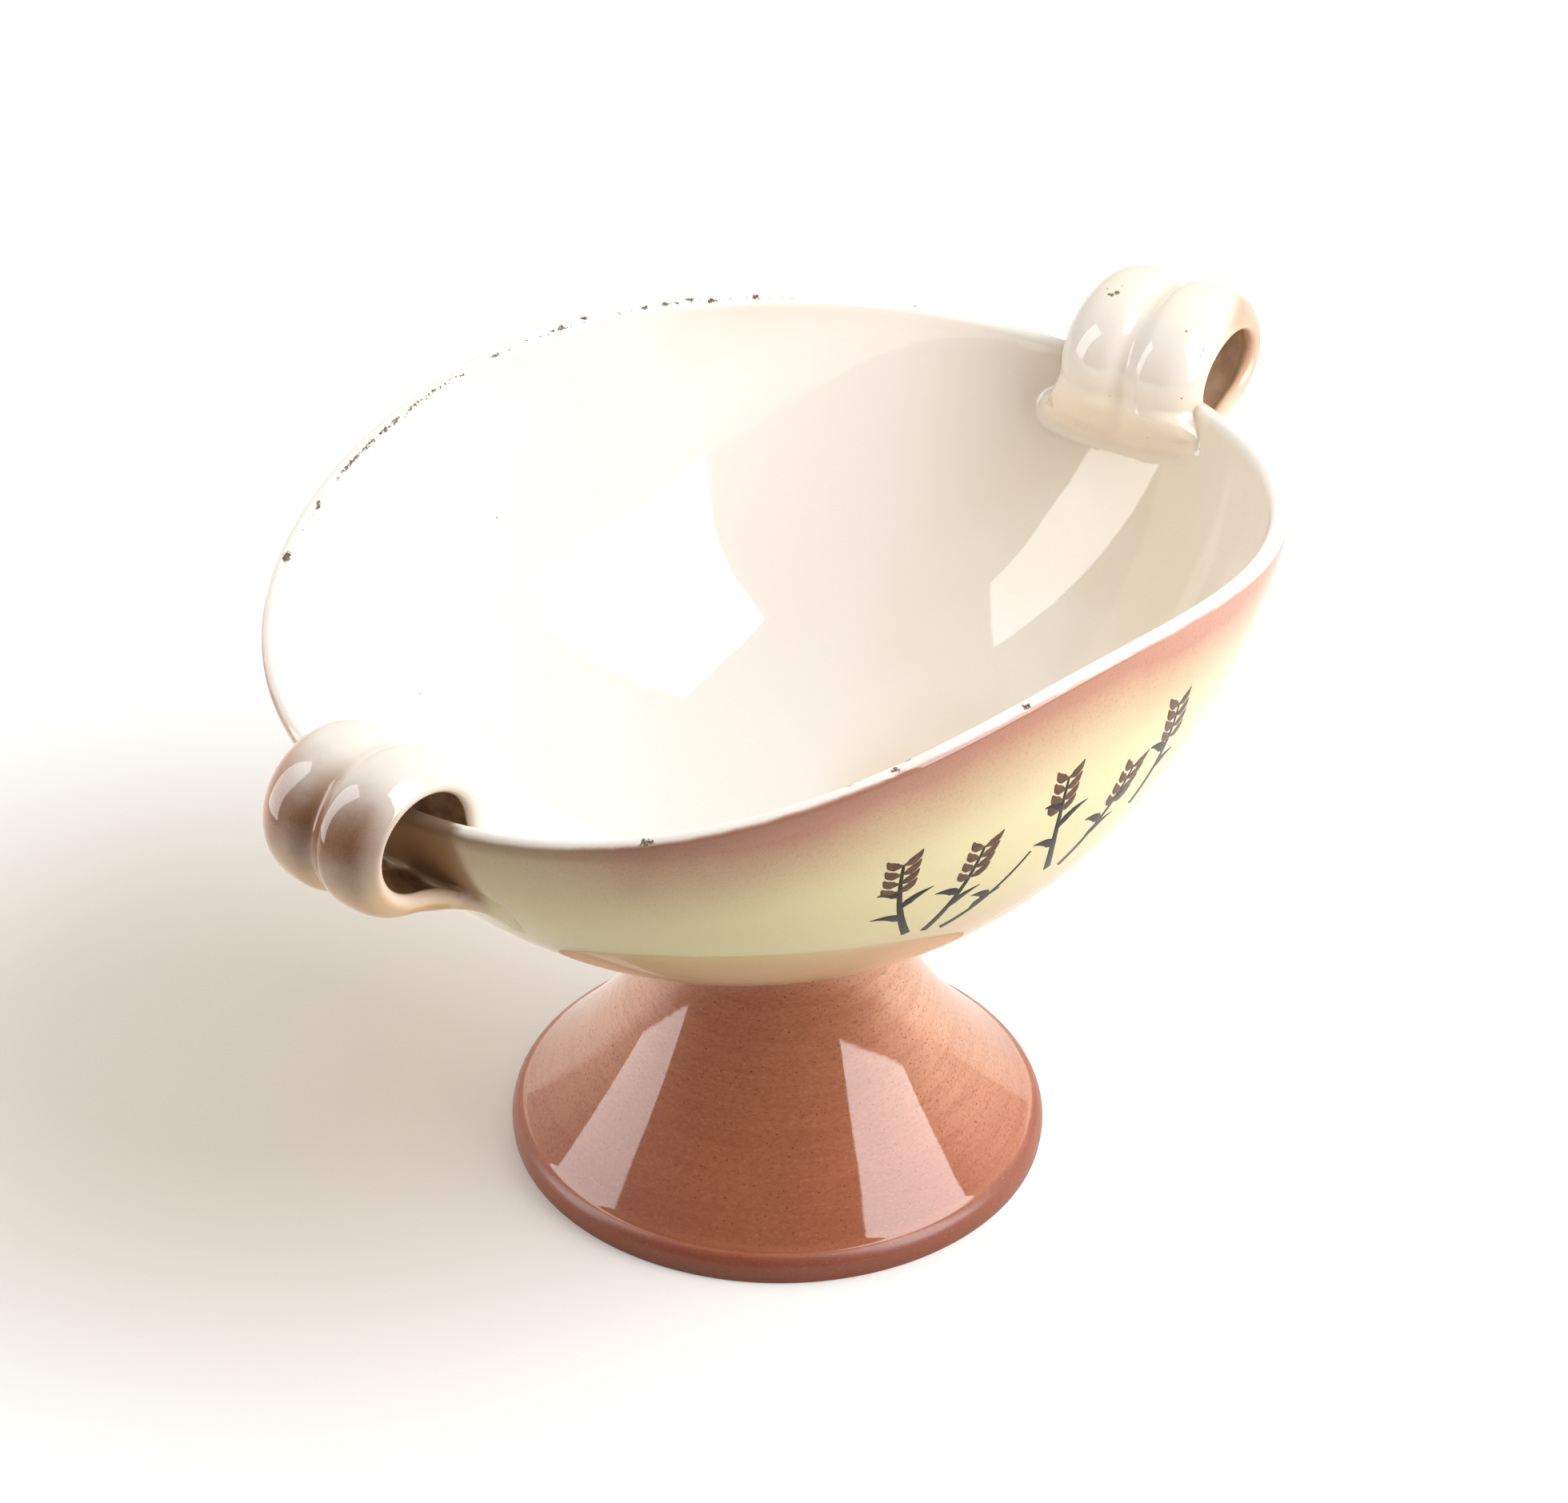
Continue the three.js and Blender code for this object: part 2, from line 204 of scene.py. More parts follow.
def spin(x, y, turn):
    """A flat place, turned round the origin by an angle in radians."""
    return x * math.cos(turn) - y * math.sin(turn), x * math.sin(turn) + y * math.cos(turn)


def lengths_along(line):
    """How long a line is up to each of its points, or many lines side by side."""
    steps = np.linalg.norm(np.diff(line, axis=0), axis=-1)
    return np.concatenate([0 * steps[:1], np.cumsum(steps, 0)])


def wall_frame(theta, step):
    """The direction up the wall and its outward normal."""
    up = unit(wall_point(theta, min(step + TINY, 1)) - wall_point(theta, max(step - TINY, 1e-6)))
    around = unit(wall_point(theta + TINY, step) - wall_point(theta - TINY, step))
    return up, unit(np.cross(around, up))


def to_frame(points):
    """Millimetres round the foot's axis to metres in the frame."""
    return (np.asarray(points) + AXIS) * MM


def add_object(name, data):
    obj = bpy.data.objects.new(name, data)
    bpy.context.scene.collection.objects.link(obj)
    return obj


def add_values(mesh, values):
    """Float or vector attributes of the mesh's points, for the glazes to read."""
    for name, data in values.items():
        data = np.asarray(data, np.float32)
        kind, field = ("FLOAT", "value") if data.ndim == 1 else ("FLOAT_VECTOR", "vector")
        mesh.attributes.new(name, kind, "POINT").data.foreach_set(field, data.ravel())


def make_piece(name, points, faces, values=None):
    """A smooth mesh object from points in millimetres and a list of face arrays."""
    mesh = bpy.data.meshes.new(name)
    corners = [row for block in faces for row in block.tolist()]
    mesh.from_pydata(to_frame(points).tolist(), [], corners)
    mesh.shade_smooth()
    add_values(mesh, {"place": points, **(values or {})})
    mesh.update()
    obj = add_object(name, mesh)
    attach(obj, "root")
    return obj


def grid_faces(rows, columns, closed_rows=False):
    """Quads between rows of points that each run once round."""
    last = rows if closed_rows else rows - 1
    i, j = np.meshgrid(np.arange(last), np.arange(columns), indexing="ij")
    i, j = i.ravel() * columns, j.ravel()
    up, side = (i + columns) % (rows * columns), (j + 1) % columns
    return np.stack([i + j, i + side, up + side, up + j], 1)


def fan_faces(pole, start, columns):
    """Triangles from a pole to the row of points that begins at start."""
    j = np.arange(columns)
    return np.stack([np.full(columns, pole), start + (j + 1) % columns, start + j], 1)


def make_tube(name, rows, poles, values):
    """A piece from rows of points that each run once round, closed by a pole at either end.
    Its values are pairs of those of the rows and those of the poles."""
    columns = rows.shape[1]
    count = len(rows) * columns
    faces = [
        grid_faces(len(rows), columns),
        fan_faces(count, 0, columns),
        fan_faces(count + 1, count - columns, columns)[:, ::-1],
    ]
    data = {key: np.concatenate([np.ravel(value), ends]) for key, (value, ends) in values.items()}
    return make_piece(name, np.concatenate([rows.reshape(-1, 3), poles]), faces, data)


def bowl_rows():
    """Rows of points from the middle of the underside over the lip to the middle of the inside."""
    theta = np.linspace(0, 2 * math.pi, BOWL_SEGMENTS, endpoint=False)
    belly = np.linspace(0, RIM_STEP, BELLY_ROWS + 1)[1:]
    steps = np.concatenate([belly, np.linspace(RIM_STEP, 1, RIM_ROWS + 1)[1:]])
    rows = [wall_point(theta, step) for step in steps]
    up, normal = wall_frame(theta, 1)
    edge = wall_point(theta, 1) - normal * LIP_RADIUS
    for i in range(1, LIP_ROWS):
        turn = i / LIP_ROWS * math.pi
        rows.append(edge + LIP_RADIUS * (normal * math.cos(turn) + up * math.sin(turn)))
    for step in steps[::-1]:
        rows.append(wall_point(theta, step) - wall_frame(theta, step)[1] * BOWL_WALL)
    return theta, np.array(rows), len(steps) + LIP_ROWS // 2 - 1


def degrees_from(theta, turn=0):
    """Angles in degrees between -180 and 180, counted from a turn."""
    return (np.degrees(theta) - turn + 180) % 360 - 180


def chip_wear(theta, rows, below):
    """How far the glaze is chipped off, from 0 to 1 in the middle of each chip."""
    radius = np.hypot(rows[..., 0], rows[..., 1])
    wear = np.zeros(below.shape)
    for turn, depth, size in CHIPS:
        along = np.radians(degrees_from(theta, turn)) * radius / (CHIP_LENGTH * size)
        wear = np.maximum(wear, np.exp(-(along ** 2) - ((below - depth) / size) ** 2))
    rng = np.random.default_rng(CHIP_SEED)
    patchy = rng.uniform(0.35, 1.15, theta.shape)
    patchy = (patchy + np.roll(patchy, 1) + np.roll(patchy, 2)) / 3
    turn = degrees_from(theta)
    for low, high, share in CHIP_ROWS:
        inside = smoothstep(np.minimum(turn - low, high - turn) / CHIP_ROW_FADE)
        row = np.exp(-(((below - CHIP_ROW_DEPTH) / CHIP_ROW_SPREAD) ** 2))
        wear = np.maximum(wear, share * inside * patchy * row)
    return wear


def make_bowl():
    theta, rows, crest = bowl_rows()
    run = lengths_along(rows)
    below = run[crest] - run
    wear = chip_wear(theta, rows, below)
    lip_middle = (wall_point(theta, 1) + rows[crest + LIP_ROWS // 2]) / 2
    rows = rows + unit(lip_middle - rows) * (CHIP_DEPTH * wear)[..., None]
    poles = [[0, 0, BOWL_BOTTOM], [0, 0, BOWL_BOTTOM + BOWL_WALL]]
    return make_tube("bowl_glazed", rows, poles, {
        "below_rim": (below, [below[0].mean(), below[-1].mean()]),
        "wear": (wear, [0, 0]),
    })


def flare_radius(z):
    share = 1 - (z - BAND_HEIGHT) / (FLARE_END - BAND_HEIGHT)
    return NECK_RADIUS + (BAND_TOP_RADIUS - NECK_RADIUS) * share ** FLARE_CURVE


def flare_point(z, depth=0.0):
    """The flare's outline as radius and height, sunk to a depth below its surface."""
    h = 0.01
    slope = (flare_radius(z + h) - flare_radius(z - h)) / (2 * h)
    length = math.hypot(1, slope)
    return np.array([flare_radius(z) - depth / length, z + depth * slope / length])


def underside_height(radius):
    """Height of the bowl's underside at a radius near its middle."""
    rise = 1 - (1 - (radius / MEAN_RADIUS) ** BOTTOM_ROUNDNESS) ** (1 / BELLY_FULLNESS)
    return BOWL_BOTTOM + (wall_top(math.pi / 4) - BOWL_BOTTOM) * rise


def bezier(points, count):
    """A Bezier curve of any degree, as an array of points."""
    points = np.asarray(points, float)
    t = np.linspace(0, 1, count)
    layers = [np.broadcast_to(p, (count, len(p))) for p in points]
    while len(layers) > 1:
        layers = [a + (b - a) * t[:, None] for a, b in zip(layers, layers[1:])]
    return layers[0]


def lathe(name, outline, segments, values=None):
    """A closed outline of radius and height, turned round the foot's axis."""
    outline = np.asarray(outline)
    theta = np.linspace(0, 2 * math.pi, segments, endpoint=False)
    x = outline[:, :1] * np.cos(theta)
    y = outline[:, :1] * np.sin(theta)
    z = np.broadcast_to(outline[:, 1:], x.shape)
    points = np.stack([x, y, z], -1).reshape(-1, 3)
    data = {key: np.repeat(value, segments) for key, value in (values or {}).items()}
    return make_piece(name, points, [grid_faces(len(outline), segments, True)], data)


def make_foot():
    """The foot, from its standing ring up its outside and down again inside."""
    top = BOWL_BOTTOM - FOOT_GAP
    ring, low = FOOT_RADIUS - STANDING_WIDTH, FOOT_RADIUS - BAND_SWELL
    standing = [(r, 0.0) for r in np.linspace(ring, low - BAND_BEVEL, 6)]
    bevel = bezier([(low - BAND_BEVEL, 0), (low, 0), (low, BAND_BEVEL)], 7)[1:]
    band = bezier([
        (low, BAND_BEVEL), (FOOT_RADIUS + 0.15, BAND_HEIGHT * 0.4),
        (FOOT_RADIUS + 0.1, BAND_HEIGHT * 0.62), (BAND_TOP_RADIUS + 1.6, BAND_HEIGHT * 0.97),
        (BAND_TOP_RADIUS - 0.5, BAND_HEIGHT + 0.35),
    ], 22)[1:]
    flare = [flare_point(z) for z in np.linspace(BAND_HEIGHT + 0.6, top, 70)]
    inside = [flare_point(z, FOOT_WALL) for z in np.linspace(top, BAND_HEIGHT, 50)]
    inside[0] = np.array([inside[0][0], top])
    heel = bezier([inside[-1], (ring - 0.6, 2.4), standing[0]], 8)[1:-1]
    parts = [standing, bevel, band, flare, inside, heel]
    outline = np.concatenate([np.asarray(part, float) for part in parts])
    outside = np.concatenate([np.full(len(part), float(i < 4)) for i, part in enumerate(parts)])
    return lathe("foot_glazed", outline, FOOT_SEGMENTS, {"outside": outside})


def make_neck_slip():
    """The slip round the neck, a hollow fillet from the flare to the underside of the bowl."""
    neck = flare_radius(BOWL_BOTTOM)
    outer, inner = neck + NECK_FILLET, neck - NECK_SLIP_SINK
    start = flare_point(BOWL_BOTTOM - NECK_FILLET - 3)
    end = np.array([outer, underside_height(outer)])
    corner = np.array([flare_radius(BOWL_BOTTOM - 1), BOWL_BOTTOM - 0.4])
    arms = start + (corner - start) * 0.7, end + (corner - end) * 0.5
    fillet = bezier([start, arms[0], corner, arms[1], end], 26)
    back = [(outer, end[1] + INTO_CLAY), (inner, BOWL_BOTTOM + INTO_CLAY), (inner, start[1])]
    return lathe("neck_slip", np.concatenate([fillet, back]), FOOT_SEGMENTS)


def seated(spec, outward, along, z):
    """Points of a handle's own frame, outward from the rim's end, along the rim and up."""
    x, y = spin(outward, along, math.radians(spec["turn"]))
    x, y = spin(x + BOWL_LENGTH / 2, y, math.radians(spec["seat"]))
    return np.stack([x, y, z + 0 * x], -1)


def unseated(spec, points):
    """Outward, along and up of points, in a handle's own frame."""
    x, y = spin(points[..., 0], points[..., 1], -math.radians(spec["seat"]))
    return *spin(x - BOWL_LENGTH / 2, y, -math.radians(spec["turn"])), points[..., 2]


def outside_wall(points):
    """How far points lie outside the outer wall, measured square to the upright axis."""
    theta = np.arctan2(points[..., 1], points[..., 0])
    rise = np.clip(rise_at(theta, points[..., 2]), 0, 1)
    return np.hypot(points[..., 0], points[..., 1]) - wall_radius(theta, rise)


def wall_outward(spec, along, z):
    """How far outward the middle of the wall lies at places along the rim, at one height."""
    along = np.atleast_1d(np.asarray(along, float))
    low, high = np.full(along.shape, -BOWL_LENGTH / 4), np.full(along.shape, BOWL_LENGTH / 4)
    for _ in range(30):
        middle = (low + high) / 2
        beyond = outside_wall(seated(spec, middle, along, z)) > -BOWL_WALL / 2
        high, low = np.where(beyond, middle, high), np.where(beyond, low, middle)
    return (low + high) / 2


def strap_path(spec):
    """The strap's middle line in the plane of outward and up: points, and the length so far."""
    tilt = math.radians(spec["lean"])
    angle = np.linspace(LOOP_START, LOOP_END, LOOP_POINTS) - tilt
    x, z = spin(spec["half_length"] * np.cos(angle), spec["half_height"] * np.sin(angle), tilt)
    loop = np.stack([x + spec["reach"], z + (RIM_END_HEIGHT + spec["rise"])], -1)
    roots = []
    for depth in (spec["inner_depth"], spec["outer_depth"]):
        z = RIM_END_HEIGHT - depth
        roots.append(np.array([wall_outward(spec, 0, z)[0], z]))
    inner, outer = roots
    pull_in = np.linalg.norm(loop[0] - inner) * ROOT_PULL
    pull_out = np.linalg.norm(loop[-1] - outer) * ROOT_PULL
    leave, arrive = unit(loop[1] - loop[0]), unit(loop[-1] - loop[-2])
    first = [inner, inner + INTO_BOWL * pull_in, loop[0] - leave * pull_in, loop[0]]
    last = [loop[-1], loop[-1] + arrive * pull_out, outer - DOWN_WALL * pull_out, outer]
    first, last = bezier(first, ROOT_POINTS), bezier(last, ROOT_POINTS)
    line = np.concatenate([first, loop[1:-1], last])
    return line, lengths_along(line)


def path_points(line, length, run):
    return np.stack([np.interp(run, length, line[:, i]) for i in (0, 1)], -1)


def smoothstep(x):
    x = np.clip(x, 0, 1)
    return x * x * (3 - 2 * x)


def root_shift(spec, inner, along):
    """How far a root shifts outward and up at places along the rim, to lie on the wall. It
    lies higher away from its middle, because its end was cut round."""
    which = "inner" if inner else "outer"
    root_z, middle = RIM_END_HEIGHT - spec[f"{which}_depth"], spec[f"{which}_middle"]
    lift = spec[f"{which}_round"] * ((along - middle) ** 2 - middle ** 2)
    outward = wall_outward(spec, along, root_z + lift) - wall_outward(spec, 0, root_z)
    return outward, lift


def strap_measures(spec, run, total, inner):
    """The strap's section at lengths along it: how much it is root, half its thickness,
    half the width of its flat, and how much of its lobes and groove it has."""
    distance = np.minimum(run, total - run)
    rootness = 1 - smoothstep(distance / ROOT_BLEND)
    flatness = 1 - smoothstep(distance / (INNER_FADE if inner else OUTER_FADE))
    thick = (STRAP_THICKNESS * (1 - flatness) + STRAP_ROOT_THICKNESS * flatness) / 2
    flat = (spec["width"] - STRAP_THICKNESS) / 2 + STRAP_FLARE * rootness
    return rootness, thick, flat, 1 - flatness


def strap_swell(spec, across):
    """How far the lobes lift the strap's middle surface off its path, and how steeply."""
    height, aside = spec["crown"] - spec["edge"], np.abs(across)
    swell = spec["edge"] + height * (1 - aside ** CROWN_SQUARENESS)
    steepness = height * CROWN_SQUARENESS * np.sign(across) * aside ** (CROWN_SQUARENESS - 1)
    return swell, steepness


def strap_groove(spec, across):
    return GROOVE_DEPTH * np.exp(-((across * spec["width"] / GROOVE_WIDTH) ** 2))


def strap_section():
    """The strap's section, once round: place across from -1 to 1, and the angle about the
    strap's middle surface, which is a quarter turn on the side away from the loop."""
    even = np.linspace(1, -1, STRAP_STEPS + 1)
    flat = (even + np.sin(even * math.pi / 2)) / 2
    quarter = math.pi / 2
    lip = np.linspace(0, math.pi, STRAP_LIP_STEPS + 1)[1:-1]
    ones, away = np.ones(len(lip)), np.full(len(flat), quarter)
    across = np.concatenate([flat, -ones, -flat, ones])
    turn = np.concatenate([away, quarter + lip, 3 * away, 3 * quarter + lip])
    return across, turn


def strap_rings(spec):
    """Rings of points of a handle from its root inside the bowl to its root outside."""
    line, length = strap_path(spec)
    total = length[-1]
    run = np.linspace(0, total, STRAP_STATIONS + 1)
    middle = path_points(line, length, run)
    ahead = path_points(line, length, run + PATH_STEP)
    tangent = unit(ahead - path_points(line, length, run - PATH_STEP))
    normal = np.stack([-tangent[:, 1], tangent[:, 0]], -1)
    across, turn = strap_section()
    swell, steepness = strap_swell(spec, across)
    rise = swell - strap_groove(spec, across)
    rings = []
    for i, so_far in enumerate(run):
        inner = so_far < total / 2
        rootness, thick, flat, shaped = strap_measures(spec, so_far, total, inner)
        angle = turn - np.arctan(shaped * steepness / flat)
        along = across * flat + thick * np.cos(angle)
        off = shaped * rise + thick * np.sin(angle)
        outward, lift = root_shift(spec, inner, along) if rootness > 0 else (0, 0)
        rings.append(seated(
            spec, middle[i, 0] + normal[i, 0] * off + rootness * outward, along,
            middle[i, 1] + normal[i, 1] * off + rootness * lift,
        ))
    return np.array(rings), run, across, np.sin(turn)


def make_handle(name, spec):
    """A handle's strap, with its own measures for the glaze."""
    rings, run, across, side = strap_rings(spec)
    stations, columns = rings.shape[:2]
    return make_tube(f"{name}_strap", rings, [rings[0].mean(0), rings[-1].mean(0)], {
        "run": (np.repeat(run, columns), [0, run[-1]]),
        "across": (np.tile(across, stations), [0, 0]),
        "side": (np.tile(side, stations), [0, 0]),
    })


def strap_place(spec, at_run, at_across):
    """The place on the outside of a strap at a length along it and a place across."""
    rings, run, across, side = strap_rings(spec)
    flat = np.flatnonzero(side == 1)
    column = flat[np.abs(across[flat] - at_across).argmin()]
    return tuple(rings[np.abs(run - at_run).argmin(), column].tolist())


class Root:
    """One root of a handle, with the distances from its strap, which runs on straight into
    the wall, and from the wall."""

    def __init__(self, spec, inner):
        self.spec, self.inner = spec, inner
        line, length = strap_path(spec)
        self.total = length[-1]
        near = length < ROOT_REACH if inner else length > self.total - ROOT_REACH
        self.knots, self.lengths = line[near], length[near]
        self.along = np.linspace(-spec["width"], spec["width"], 121)
        self.outward, self.lift = root_shift(spec, inner, self.along)
        self.across = np.sin(np.linspace(-math.pi / 2, math.pi / 2, ROOT_KNOTS))
        self.swell, self.steepness = strap_swell(spec, self.across)

    def strap(self, points):
        """Distance from the strap, and the strap's own measures at the nearest place."""
        outward, along, up = unseated(self.spec, points)
        shift_out = np.interp(along, self.along, self.outward)
        shift_up = np.interp(along, self.along, self.lift)
        middles = (self.knots[1:] + self.knots[:-1]) / 2
        rootness = np.ones(len(points))
        for _ in range(3):
            x, z = outward - rootness * shift_out, up - rootness * shift_up
            apart = (x[:, None] - middles[:, 0]) ** 2 + (z[:, None] - middles[:, 1]) ** 2
            nearest = apart.argmin(1)
            start, end = self.knots[nearest], self.knots[nearest + 1]
            span = end - start
            size = np.linalg.norm(span, axis=1)
            rest = np.stack([x, z], -1) - start
            inside = np.clip((rest * span).sum(1) / size ** 2, 0, 1)
            run = self.lengths[nearest] + inside * size
            rootness, thick, flat, shaped = strap_measures(self.spec, run, self.total, self.inner)
        off = (rest[:, 1] * span[:, 0] - rest[:, 0] * span[:, 1]) / size
        off += shaped * strap_groove(self.spec, along / flat)
        knots = np.stack([self.across * flat[:, None], self.swell * shaped[:, None]], -1)
        middles = (knots[:, 1:] + knots[:, :-1]) / 2
        place = np.stack([along, off], -1)
        first = ((middles - place[:, None]) ** 2).sum(2).argmin(1)
        rows = np.arange(len(points))
        start, end = knots[rows, first], knots[rows, first + 1]
        share = ((place - start) * (end - start)).sum(1) / ((end - start) ** 2).sum(1)
        share = np.clip(share, 0, 1)
        rest = place - start - share[:, None] * (end - start)
        distance = np.linalg.norm(rest, axis=1)
        across = np.interp(first + share, np.arange(ROOT_KNOTS), self.across)
        lean = np.arctan(shaped * np.interp(across, self.across, self.steepness) / flat)
        side = (rest[:, 0] * np.sin(lean) + rest[:, 1] * np.cos(lean)) / np.maximum(distance, 1e-6)
        return distance - thick, run, across, np.clip(side, -1, 1)

    def blend(self, run, step):
        """How widely the slip rounds the corner, less and less up the strap and to the crest."""
        distance = run if self.inner else self.total - run
        up_strap = 1 - smoothstep((distance - SLIP_LENGTH) / SLIP_RUNOUT)
        to_crest = 1 - smoothstep((step - SLIP_TOP) / SLIP_TOP_FADE)
        return np.maximum(SLIP_BLEND * (up_strap * to_crest), 1e-3)

    def blended(self, points):
        """The slip's field, less than 0 in it, and the two distances that it blends."""
        strap, run = self.strap(points)[:2]
        wall, _, step = wall_distance(points)
        if self.inner:
            wall = -(wall + BOWL_WALL)
        blend = self.blend(run, step)
        share = np.maximum(1 - np.abs(strap - wall) / blend, 0)
        union = np.minimum(strap, wall) - share ** 2 * blend / 4
        limit = np.abs(strap - wall) - blend * SLIP_EXTENT
        field = np.maximum.reduce([union + SLIP_SINK, -strap - SLIP_BITE, -wall - SLIP_BITE, limit])
        return field, union, strap, wall

    def slope(self, points, which):
        """How the slip's field, or the plain blend, grows along each axis."""
        steps = np.eye(3) * SLIP_SLOPE_STEP
        rises = [self.blended(points + d)[which] - self.blended(points - d)[which] for d in steps]
        return np.stack(rises, -1) / (2 * SLIP_SLOPE_STEP)


def wall_distance(points):
    """Signed distance outside the outer wall, with the angle and step of the nearest place."""
    theta = np.arctan2(points[:, 1], points[:, 0])
    step = np.clip(rise_at(theta, points[:, 2]), 0.01, 0.99) ** (1 / BOTTOM_ROUNDNESS)
    for _ in range(5):
        around = (wall_point(theta + TINY, step) - wall_point(theta - TINY, step)) / (2 * TINY)
        up = (wall_point(theta, step + TINY) - wall_point(theta, step - TINY)) / (2 * TINY)
        rest = points - wall_point(theta, step)
        aa, au, uu = (around * around).sum(1), (around * up).sum(1), (up * up).sum(1)
        ra, ru = (rest * around).sum(1), (rest * up).sum(1)
        det = aa * uu - au * au
        theta = theta + (ra * uu - ru * au) / det
        step = np.clip(step + (ru * aa - ra * au) / det, *STEP_LIMITS)
    normal = unit(np.cross(around, up))
    return (rest * normal).sum(1), theta, step


def wall_depth(theta, step):
    """Length of wall between the crest of the rim and places on it."""
    shares = np.linspace(0, 1, 25)[:, None]
    line = wall_point(theta + 0 * shares, step + (1 - step) * shares)
    return np.linalg.norm(np.diff(line, axis=0), axis=2).sum(0) + LIP_RADIUS * math.pi / 2


def surface_net(field, low, spacing):
    """Points and quads of the surface where a field on a grid passes through 0."""
    inside = field < 0
    shape = np.array(field.shape) - 1
    corners = [(i, j, k) for i in (0, 1) for j in (0, 1) for k in (0, 1)]

    def part(grid, corner):
        return grid[tuple(slice(c, c + size) for c, size in zip(corner, shape))]

    count = sum(part(inside, c).astype(int) for c in corners)
    mixed = (count > 0) & (count < 8)
    cells = np.argwhere(mixed)
    index = np.full(shape, -1)
    index[mixed] = np.arange(len(cells))
    total, hits = np.zeros((len(cells), 3)), np.zeros(len(cells))
    for a in corners:
        for axis in range(3):
            if a[axis]:
                continue
            b = tuple(1 if i == axis else a[i] for i in range(3))
            fa, fb = part(field, a)[mixed], part(field, b)[mixed]
            crosses = (fa < 0) != (fb < 0)
            share = np.where(crosses, fa / np.where(crosses, fa - fb, 1), 0)
            spot = np.array(a) + share[:, None] * (np.array(b) - np.array(a))
            total += spot * crosses[:, None]
            hits += crosses
    points = low + (cells + total / hits[:, None]) * spacing
    quads = []
    for axis in range(3):
        u, v = (axis + 1) % 3, (axis + 2) % 3
        here, ahead = [slice(1, -1)] * 3, [slice(1, -1)] * 3
        here[axis], ahead[axis] = slice(0, -1), slice(1, None)
        near = inside[tuple(here)]
        turned = near != inside[tuple(ahead)]
        ring = []
        for du, dv in ((1, 1), (0, 1), (0, 0), (1, 0)):
            cell = np.argwhere(turned)
            cell[:, u] += du
            cell[:, v] += dv
            ring.append(index[tuple(cell.T)])
        ring = np.stack(ring, 1)
        quads.append(np.where(near[turned][:, None], ring, ring[:, ::-1]))
    return points, np.concatenate(quads)


def make_root_slip(name, spec, inner):
    """The slip round a root: what a smooth blend of strap and wall adds to the two."""
    root = Root(spec, inner)
    rings, run = strap_rings(spec)[:2]
    reach = ROOT_REACH * NET_SHARE
    some = (rings[run < reach] if inner else rings[run > run[-1] - reach]).reshape(-1, 3)
    low, high = some.min(0) - SLIP_BLEND - 1, some.max(0) + SLIP_BLEND + 1
    axes = [np.arange(a, b, SLIP_GRID) for a, b in zip(low, high)]
    grid = np.stack(np.meshgrid(*axes, indexing="ij"), -1)
    rough_wall = outside_wall(grid)
    close = np.abs(rough_wall + BOWL_WALL if inner else rough_wall) < SLIP_BLEND * SLIP_NEAR
    field = np.ones(grid.shape[:3])
    field[close] = root.blended(grid[close])[0]
    for end in (0, -1):
        field[end] = field[:, end] = field[:, :, end] = 1
    points, quads = surface_net(field, low, SLIP_GRID)
    for _ in range(3):
        slope = root.slope(points, 0)
        level = root.blended(points)[0] / np.maximum((slope ** 2).sum(1), 0.2)
        move = slope * level[:, None]
        size = np.linalg.norm(move, axis=1, keepdims=True)
        points = points - move * np.minimum(1, SLIP_MOVE / np.maximum(size, 1e-9))
    strap, wall = root.blended(points)[2:]
    _, so_far, across, side = root.strap(points)
    _, theta, step = wall_distance(points)
    below = wall_depth(theta, step)
    obj = make_piece(name, points, [quads], {
        "run": so_far, "across": across, "side": side, "below_rim": -below if inner else below,
        "on_wall": np.clip(0.5 + (strap - wall) / (SLIP_BLEND * SLIP_MIXED), 0, 1),
    })
    obj.data.normals_split_custom_set_from_vertices(unit(root.slope(points, 1)).tolist())
    return obj


# Camera, from the photograph's perspective: angles in radians, lengths in millimetres, and the
# scale in pixels of the photograph per millimetre at the camera's distance
CAMERA_TURN = 0.756
CAMERA_DROP = 0.595
CAMERA_DISTANCE = 1419.295
CAMERA_ASIDE = -20.854
CAMERA_RAISED = 109.921
PIXELS_PER_MM = 5.233
PHOTO_WIDTH = 1960
PRINCIPAL_X = 866.933
SENSOR_WIDTH = 36


def make_camera():
    data = bpy.data.cameras.new("camera")
    data.sensor_width = SENSOR_WIDTH
    data.lens = PIXELS_PER_MM * CAMERA_DISTANCE / PHOTO_WIDTH * SENSOR_WIDTH
    data.shift_x = 0.5 - PRINCIPAL_X / PHOTO_WIDTH
    data.clip_start, data.clip_end = 0.05, 50
    camera = add_object("camera", data)
    back = -CAMERA_DISTANCE * math.cos(CAMERA_DROP)
    height = CAMERA_RAISED + CAMERA_DISTANCE * math.sin(CAMERA_DROP)
    camera.location = to_frame([*spin(CAMERA_ASIDE, back, -CAMERA_TURN), height])
    camera.rotation_euler = (math.pi / 2 - CAMERA_DROP, 0, -CAMERA_TURN)
    bpy.context.scene.camera = camera


class Level:
    """A number or colour over a surface, from a node. Sums and products of it make nodes."""

    def __init__(self, nodes, socket):
        self.nodes, self.socket = nodes, socket

    def __add__(self, other):
        return self.nodes.math("ADD", self, other)

    def __sub__(self, other):
        return self.nodes.math("SUBTRACT", self, other)

    def __rsub__(self, other):
        return self.nodes.math("SUBTRACT", other, self)

    def __mul__(self, other):
        return self.nodes.math("MULTIPLY", self, other)

    def twin(self, output):
        """Another output of the same node."""
        return Level(self.nodes, self.socket.node.outputs[output])


